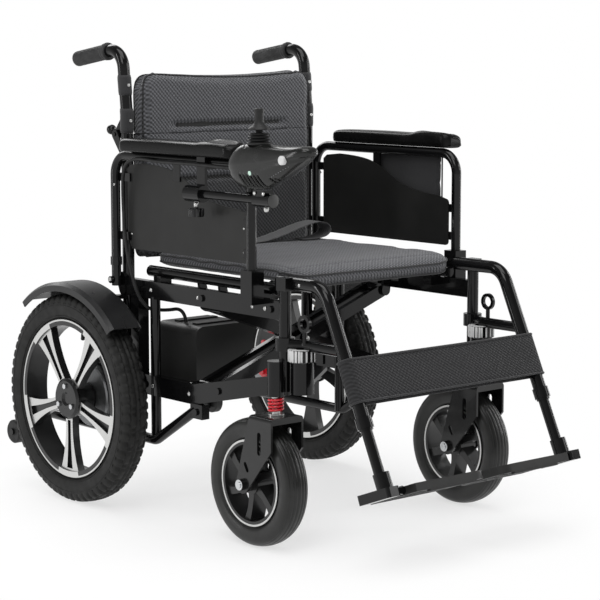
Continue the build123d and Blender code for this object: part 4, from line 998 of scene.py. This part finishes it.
def channel_shade_sheet(tag, z, body):
    """Near-black sheet along a sewn channel, painted shade in its groove."""
    columns, verts = 48, []
    for i in range(columns + 1):
        x = -0.134 + 0.268 * i / columns
        verts += [Vector((x, BACK["front"] + y, z + dz)) for y, dz in
                  ((0.0042, -0.0052), (0.0052, -0.0018), (0.0052, 0.0018), (0.0042, 0.0052))]
    obj = mesh_object(f"channel_shade_sheet_{tag}", verts, grid(columns + 1, 4), CHANNEL_SHADE)
    thicken(obj, 0.0015)
    finish_piece(obj, body, "webbing")
    fold(obj)


def back_cushions():
    def shape(p, n):
        d = 0.0
        if n.y <= -0.2:
            across = part_of(1 - (abs(p.x) - CHANNEL_END) / 0.02)
            d -= 0.0055 * across * sum(groove(p.z, z, 0.011) for z in BACK_CHANNELS.values())
        if n.y < -0.3:
            d -= 0.0018 * groove(BACK["half"] - abs(p.x), 0.016, 0.0045)
            d += 0.0014 * noise.noise(Vector((p.x * 9, 3.3, p.z * 16)))
            d += 0.0010 * noise.noise(Vector((p.x * 24, 8.1, p.z * 10)))
        return d

    split, seam = BACK["split"], 0.0003
    upper = back_panel("back_pad_upper", split - 0.02, 0.8635, 0.204, 0.004, 0.030)
    lower = back_panel("back_pad_lower", 0.4865, split + 0.02, 0.202, 0.018, 0.004)
    bodies = {"upper": "back_right", "lower": "right_side"}
    for tag, obj in (("upper", upper), ("lower", lower)):
        push(obj, shape)
        cut_flat(obj, split + (seam if tag == "upper" else -seam), tag == "upper")
        for v in obj.data.vertices:
            v.co.y = max(v.co.y, BACK["front"] - 0.001)
        finish_piece(obj, bodies[tag], "cloth_grey", f"back_cushion_{tag}")
        fold(obj)
    # near-black sheets in the channels' grooves: painted shade
    for tag, z in BACK_CHANNELS.items():
        channel_shade_sheet(tag, z, bodies[tag])
    # piping down both sides and over the top, none along the fold line
    edge = BACK["half"] - 0.0026
    lines = (("upper", upper, u_line(edge, split + 0.0005, 0.8605, 0.030, 12, 10)),
             ("lower", lower, u_line(edge, split - 0.0005, 0.4905, 0.018, 18, 8)))
    for tag, pad, line in lines:
        for face, y in (("front", 0.1650), ("rear", 0.2005)):
            pts = hug([Vector((x, y, z - top_dip(x, z))) for x, z in line], pad)
            fold(welt(f"back_piping_{tag}_{face}", pts, THIN_PIPE, bodies[tag], CLOTH_DARK, "cloth_grey",
                      False))


def armrest_pads():
    """Moulded skin pads: a flat run, a hump at the front and a shallow oval dish on top of it, its faces a
    lighter colour as a painted highlight.
    """
    inner, outer, z0 = 0.250, 0.301, 0.7075
    mid, half = (inner + outer) / 2, (outer - inner) / 2
    tops = mm((-208.5, 6), (-206, 19), (-198, 26.8), (-180, 30.2), (-150, 32.2), (-118, 30.8), (-88, 27.2),
              (0, 27.6), (60, 27.2), (120, 26), (136, 21.5), (141.5, 12))
    tops = smooth_curve([(y, z0 + top) for y, top in tops], 7)

    def dish(p):
        """Below 1 inside the oval of the dish."""
        return ((p.y + 0.158) / 0.040) ** 2 + ((abs(p.x) - mid) / 0.019) ** 2

    def shape(p, n):
        d = 0.0
        if n.z > 0.4:
            d -= 0.0036 * max(0.0, 1 - dish(p)) ** 0.6
        if n.z < 0.5:
            d -= 0.0011 * groove(p.y, -0.0900, 0.0016)
        return d - 0.0007 * groove(p.z, z0 + 0.0055, 0.0012)

    for side, k in SIDES.items():
        rows = []
        for y, top in tops:
            ends = min(y + 0.2090, 0.1420 - y)
            taper = min(1.0, max(0.12, ends / 0.020))
            w = half * (1 - (1 - taper) ** 2.2 * 0.55)
            low = z0 + (0.0035 if ends < 0.006 else 0.0)
            lean = 0.14 * part_of((-0.085 - y) / 0.04)
            zc, h = (top + low) / 2, (top - low) / 2
            row = []
            for c, v in circle(36):
                sx, sz = squared(c, 0.55), squared(v, 0.62 if v > 0 else 0.35)
                row.append(Vector((k * (mid + w * sx), y, zc + h * sz - lean * w * sx * max(0.0, sz))))
            rows.append(row)
        obj = slab(f"arm_pad_{side}", rows, PAD)
        sub(obj)
        push(obj, shape)
        # the dish's faces get a lighter colour: a painted highlight
        obj.data.materials.append(DISH_HIGHLIGHT)
        for face in obj.data.polygons:
            if face.normal.z > 0.3 and dish(face.center) < 0.95:
                face.material_index = 1
        finish_piece(obj, f"armrest_{side}", "plastic_black", f"armrest_pad_{side}")


def calf_strap():
    """One wide webbing band looped round both hangers, slack enough to bow a little."""
    strap_z, height, hem, slope = 0.290, 0.082, 0.0015, math.radians(25.1)
    up = Vector((0, math.sin(slope), math.cos(slope)))
    out = Vector((0, -math.cos(slope), math.sin(slope)))
    base = Vector((0, -0.383 - (0.487 - strap_z) * math.tan(slope), strap_z))
    r, hx, run, arc = 0.0152, HANGER_X, 56, 14
    line = []  # (x, distance out, 1 or -1 on the front or rear run and 0 round a hanger)
    for way in (1, -1):
        line += [(way * (-hx + 2 * hx * i / run), way * (r - 0.0015 * math.sin(math.pi * i / run)), way)
                 for i in range(run)]
        turns = [way * math.pi / 2 - math.pi * i / arc for i in range(arc)]
        line += [(way * hx + r * math.cos(a), r * math.sin(a), 0) for a in turns]
    verts, bands = [], 20
    for x, d, way in line:
        for j in range(bands + 1):
            v = j / bands
            sag = 0.0022 * noise.noise(Vector((x * 9, v * 2.0, way * 4.0))) * (1 - abs(2 * v - 1) * 0.3)
            edge = -0.0007 if j in (1, bands - 1) else 0.0
            bow = (sag + edge if way else 0.0) * (1 if d > 0 else -1)
            p = base + up * (hem + (height - 2 * hem) * v) + out * (d + bow)
            verts.append(Vector((x, p.y, p.z)))
    obj = mesh_object("calf_band", verts, grid(len(line), bands + 1, True), CLOTH_DARK)
    thicken(obj, 0.0022)
    finish_piece(obj, "right_side", "webbing", "calf_strap")
    fold(obj)
    for tag, v in (("low", 0.0024), ("top", height - 0.0024)):
        edge = []
        for x, d, _ in line:
            p = base + up * v + out * (d + 0.0006 * (1 if d > 0 else -1))
            edge.append(Vector((x, p.y, p.z)))
        fold(welt(f"calf_piping_{tag}", edge, PIPE, "right_side", GUSSET))


def ribbon(name, spine, width, thick, material):
    """Strap swept along (x, y, z, tilt) points."""
    verts, across = [], 8
    for i, (x, y, z, tilt) in enumerate(spine):
        before, after = spine[max(0, i - 1)], spine[min(len(spine) - 1, i + 1)]
        t = (Vector(after[:3]) - Vector(before[:3])).normalized()
        side = (Vector((0, 1, 0)) - t * t.y).normalized()
        side = side * math.cos(tilt) + t.cross(side).normalized() * math.sin(tilt)
        verts += [Vector((x, y, z)) + side * width * (j / across - 0.5) for j in range(across + 1)]
    obj = mesh_object(name, verts, grid(len(spine), across + 1), material)
    thicken(obj, thick)
    return obj


def seat_belt():
    """Webbing lap belt thrown across the rear of the seat: buckled at the right, looped up at the left."""
    width, lie, body = 0.038, SEAT["top"] + 0.0012, "rail_right"
    # (x, y, height above the seat, tilt)
    right = [(-0.196, 0.132, 0.0, 0.0), (-0.165, 0.130, 0.0006, 0.03), (-0.140, 0.127, 0.0016, 0.06)]
    left = [(-0.110, 0.124, 0.0030, -0.10), (-0.084, 0.121, 0.0085, -0.45), (-0.050, 0.117, 0.0066, -0.30),
            (-0.012, 0.113, 0.0008, 0.0), (0.030, 0.108, 0.0030, 0.04), (0.076, 0.102, 0.0135, 0.06),
            (0.122, 0.096, 0.0275, 0.05), (0.158, 0.092, 0.0350, 0.03), (0.182, 0.090, 0.0320, 0.0),
            (0.193, 0.090, 0.0190, -0.03), (0.184, 0.092, 0.0068, -0.03), (0.158, 0.096, 0.0006, 0.0),
            (0.130, 0.100, 0.0002, 0.0)]
    for name, points, replaced in (("belt_right", right, ["seat_belt"]), ("belt_left", left, [])):
        spine = smooth_curve([(x, y, lie + z, tilt) for x, y, z, tilt in points])
        obj = finish_piece(ribbon(name, spine, width, 0.0014, BELT), body, "webbing", *replaced)
        fold(obj)
    # buckle: a rounded two-part shell
    for name, x0, x1, h in (("buckle_body", -0.146, -0.122, 0.0125),
                            ("buckle_tongue", -0.1215, -0.106, 0.0095)):
        rows = []
        for x, w, z in ((x0, 0.019, 0.45), (x0 + 0.002, 0.022, 0.85), (x0 + 0.005, 0.0235, 1.0),
                        (x1 - 0.005, 0.0235, 1.0), (x1 - 0.002, 0.022, 0.85), (x1, 0.019, 0.45)):
            rows.append([Vector((x, 0.126 + w * squared(c, 0.5), lie + h * 0.5 * (1 + z * squared(v, 0.5))))
                         for c, v in circle(20)])
        obj = finish_piece(bevel(slab(name, rows, SATIN), 0.0008), body, "plastic_black")
        fold(obj)


def pouch():
    """Flat cloth pocket hanging outside the left armrest, bulging a little, with a bound edge."""
    body, x0, x1 = "armrest_left", 0.2726, 0.2798
    cy, cz = -0.075, 0.635
    rows = []
    outline = outline_loop(-0.168, 0.018, 0.572, 0.698, (0.012, 0.012, 0.006, 0.006))
    for d, x in ((0.006, x0), (0.0, x0 + 0.0015), (0.0, x1 - 0.0025), (0.005, x1)):
        rows.append([Vector((x, (p.x - cy) * (1 - d / 0.09) + cy, (p.y - cz) * (1 - d / 0.065) + cz))
                     for p in outline])
    obj = slab("side_pocket", rows, GUSSET)
    inflate(obj, 0.004, 0.003, 3.0, 14)
    sub(obj)
    for v in obj.data.vertices:
        v.co.x = max(0.2719, v.co.x)
        if v.co.x > 0.276:
            v.co.x = min(v.co.x - 0.0015 * groove(v.co.z, 0.676, 0.004), 0.2845)
    finish_piece(obj, body, "webbing", "armrest_pouch")
    binding = outline_loop(-0.166, 0.016, 0.574, 0.696, (0.012, 0.012, 0.006, 0.006))
    welt("pocket_binding", [Vector((0.2800, p.x, p.y)) for p in binding], 0.0016, body, GUSSET)
    tab = outline_loop(-0.090, -0.060, 0.664, 0.694, (0.004, 0.004, 0.004, 0.004), 0.003)
    rows = [[Vector((x, p.x, p.y)) for p in tab] for x in (0.2800, 0.2822)]
    finish_piece(bevel(slab("pocket_tab", rows, BELT), 0.0006), body, "webbing")


CABLE = mm((-288, -218.6, 692), (-288, -170, 692), (-285, -80, 694), (-281, 30, 692), (-278, 110, 697),
           (-276, 152, 678), (-266, 166, 600), (-265, 158, 505), (-257, 122, 402), (-205, 116, 392),
           (-165, 104, 396), (-162, 102, 366))


def cable():
    """The joystick's lead, a tube along its spline."""
    curve = bpy.data.curves.new("lead_line", "CURVE")
    curve.dimensions = "3D"
    spline = curve.splines.new("NURBS")
    spline.points.add(len(CABLE) - 1)
    for point, place in zip(spline.points, CABLE):
        point.co = (*place, 1)
    spline.order_u = 3
    spline.use_endpoint_u = True
    curve.resolution_u = 10
    probe = bpy.data.objects.new("lead_probe", curve)
    line = bpy.data.meshes.new_from_object(probe)
    diameter = 0.007
    curve.bevel_depth, curve.bevel_resolution, curve.use_fill_caps = diameter / 2, 5, True
    obj = bpy.data.objects.new("joystick_lead", bpy.data.meshes.new_from_object(probe))
    bpy.data.objects.remove(probe)
    scene.collection.objects.link(obj)
    obj.data.materials.clear()
    obj.data.materials.append(RUBBER)
    obj.data.shade_smooth()
    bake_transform(obj)
    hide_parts("joystick_cable")


def springs():
    """Coil springs over the caster stems."""
    wire, coil, turns, steps, travel = 0.0025, 0.0125, 4, 32, 0.012
    for side in SIDES:
        node = f"suspension_spring_{side}"
        low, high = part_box(node)
        x, y = (low[0] + high[0]) / 2, (low[1] + high[1]) / 2
        z0, z1 = low[2] + wire, high[2] - wire
        points = []
        for i in range(turns * steps + 1):
            a = 2 * math.pi * i / steps
            rise = (z1 - z0) * i / (turns * steps)
            points.append(Vector((x + coil * math.cos(a), y + coil * math.sin(a), z0 + rise)))
        obj = welt(f"coil_{side}", points, wire, f"{side}_side", RED, "spring_red", False)
        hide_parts(node)
        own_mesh(obj)


# ---------------------------------------------------------------- camera, light and stage
def look():
    cam = bpy.data.cameras.new("camera")
    cam.lens, cam.sensor_width, cam.sensor_fit = 119.3, 36.0, "HORIZONTAL"
    cam.clip_start, cam.clip_end = 0.1, 60
    obj = bpy.data.objects.new("camera", cam)
    scene.collection.objects.link(obj)
    azimuth, pitch = math.radians(-40.78), math.radians(7.549)
    level = math.cos(pitch)
    back = Vector((math.sin(azimuth) * level, -math.cos(azimuth) * level, math.sin(pitch)))
    obj.location = (-2.5344, -2.9931, 0.927)
    obj.rotation_euler = (-back).to_track_quat("-Z", "Y").to_euler()
    scene.camera = obj


def area(name, location, target, size, power, shape=1.0):
    light = bpy.data.lights.new(name, "AREA")
    light.shape, light.size, light.size_y = "RECTANGLE", size, size * shape
    light.energy = power
    obj = bpy.data.objects.new(name, light)
    scene.collection.objects.link(obj)
    obj.location = location
    obj.rotation_euler = (Vector(target) - Vector(location)).to_track_quat("-Z", "Y").to_euler()


def stage():
    scene.view_settings.view_transform = "Standard"
    world = bpy.data.worlds.new("studio")
    scene.world = world
    world.use_nodes = True
    w = Nodes(world.node_tree)
    rays = w.node("ShaderNodeLightPath").outputs
    # white where it is seen; mirrored, it is lighter near the horizon with a dimmer ceiling above
    height = w.axis("Z", w.node("ShaderNodeTexCoord").outputs["Generated"])
    ceiling = w.ramp(height, 0.10, 0.60, 0.62, 0.20)
    mirrored = w.plus(w.times(rays["Is Glossy Ray"], w.minus(ceiling, 0.50)), 0.50)
    seen = w.most(rays["Is Camera Ray"], rays["Is Transmission Ray"])
    background = w.n["Background"]
    background.inputs["Color"].default_value = (1, 1, 1, 1)
    w.l.new(w.most(seen, mirrored), background.inputs["Strength"])

    corners = [(-14, -14, 0), (14, -14, 0), (14, 14, 0), (-14, 14, 0)]
    floor = mesh_object("floor", corners, [(0, 1, 2, 3)], None, False)
    m = Mat("studio_floor", (0.9, 0.9, 0.9), 0.9, Specular_IOR_Level=0.1)
    length = m.node("ShaderNodeVectorMath", operation="LENGTH")
    m.l.new(m.space, length.inputs[0])
    far = m.ramp(length.outputs["Value"], 0.3, 0.85, 0.6, 1)
    glow = m.node("ShaderNodeEmission", in_Color=(1, 1, 1, 1), in_Strength=1.0)
    blend = m.node("ShaderNodeMixShader")
    m.l.new(far, blend.inputs[0])
    m.l.new(m.bsdf.outputs[0], blend.inputs[1])
    m.l.new(glow.outputs[0], blend.inputs[2])
    m.l.new(blend.outputs[0], m.n["Material Output"].inputs["Surface"])
    m.drive("Base Color", m.tones(m.noise(3, 2), (0.89, 0.89, 0.89), (0.91, 0.91, 0.91)))
    floor.data.materials.clear()
    floor.data.materials.append(m.mat)
    area("key", (-2.6, -1.6, 3.2), (0, 0, 0.4), 1.8, 40)
    area("top", (-0.3, -0.5, 3.4), (0, 0, 0.4), 2.2, 48)
    area("fill", (2.6, -2.6, 1.9), (0, 0, 0.5), 1.4, 20)
    area("rim", (0.6, 3.0, 2.6), (0, 0, 0.5), 1.8, 40)
    area("strip_right", (3.1, -0.5, 1.2), (0, 0, 0.5), 0.28, 22, 8.0)
    area("strip_left", (-3.0, 1.6, 1.2), (0, 0, 0.5), 0.28, 20, 8.0)


look()
cable()
springs()
for side, k in SIDES.items():
    rear_tyre(side, k)
    caster_tyre(side, k)
seat_cushion()
back_cushions()
armrest_pads()
calf_strap()
seat_belt()
pouch()
grips()
cane_sleeves()
joystick_head()
joystick_clamp()
stop_collars()
valves()
side_bolts()
brace_bolts()
stage()
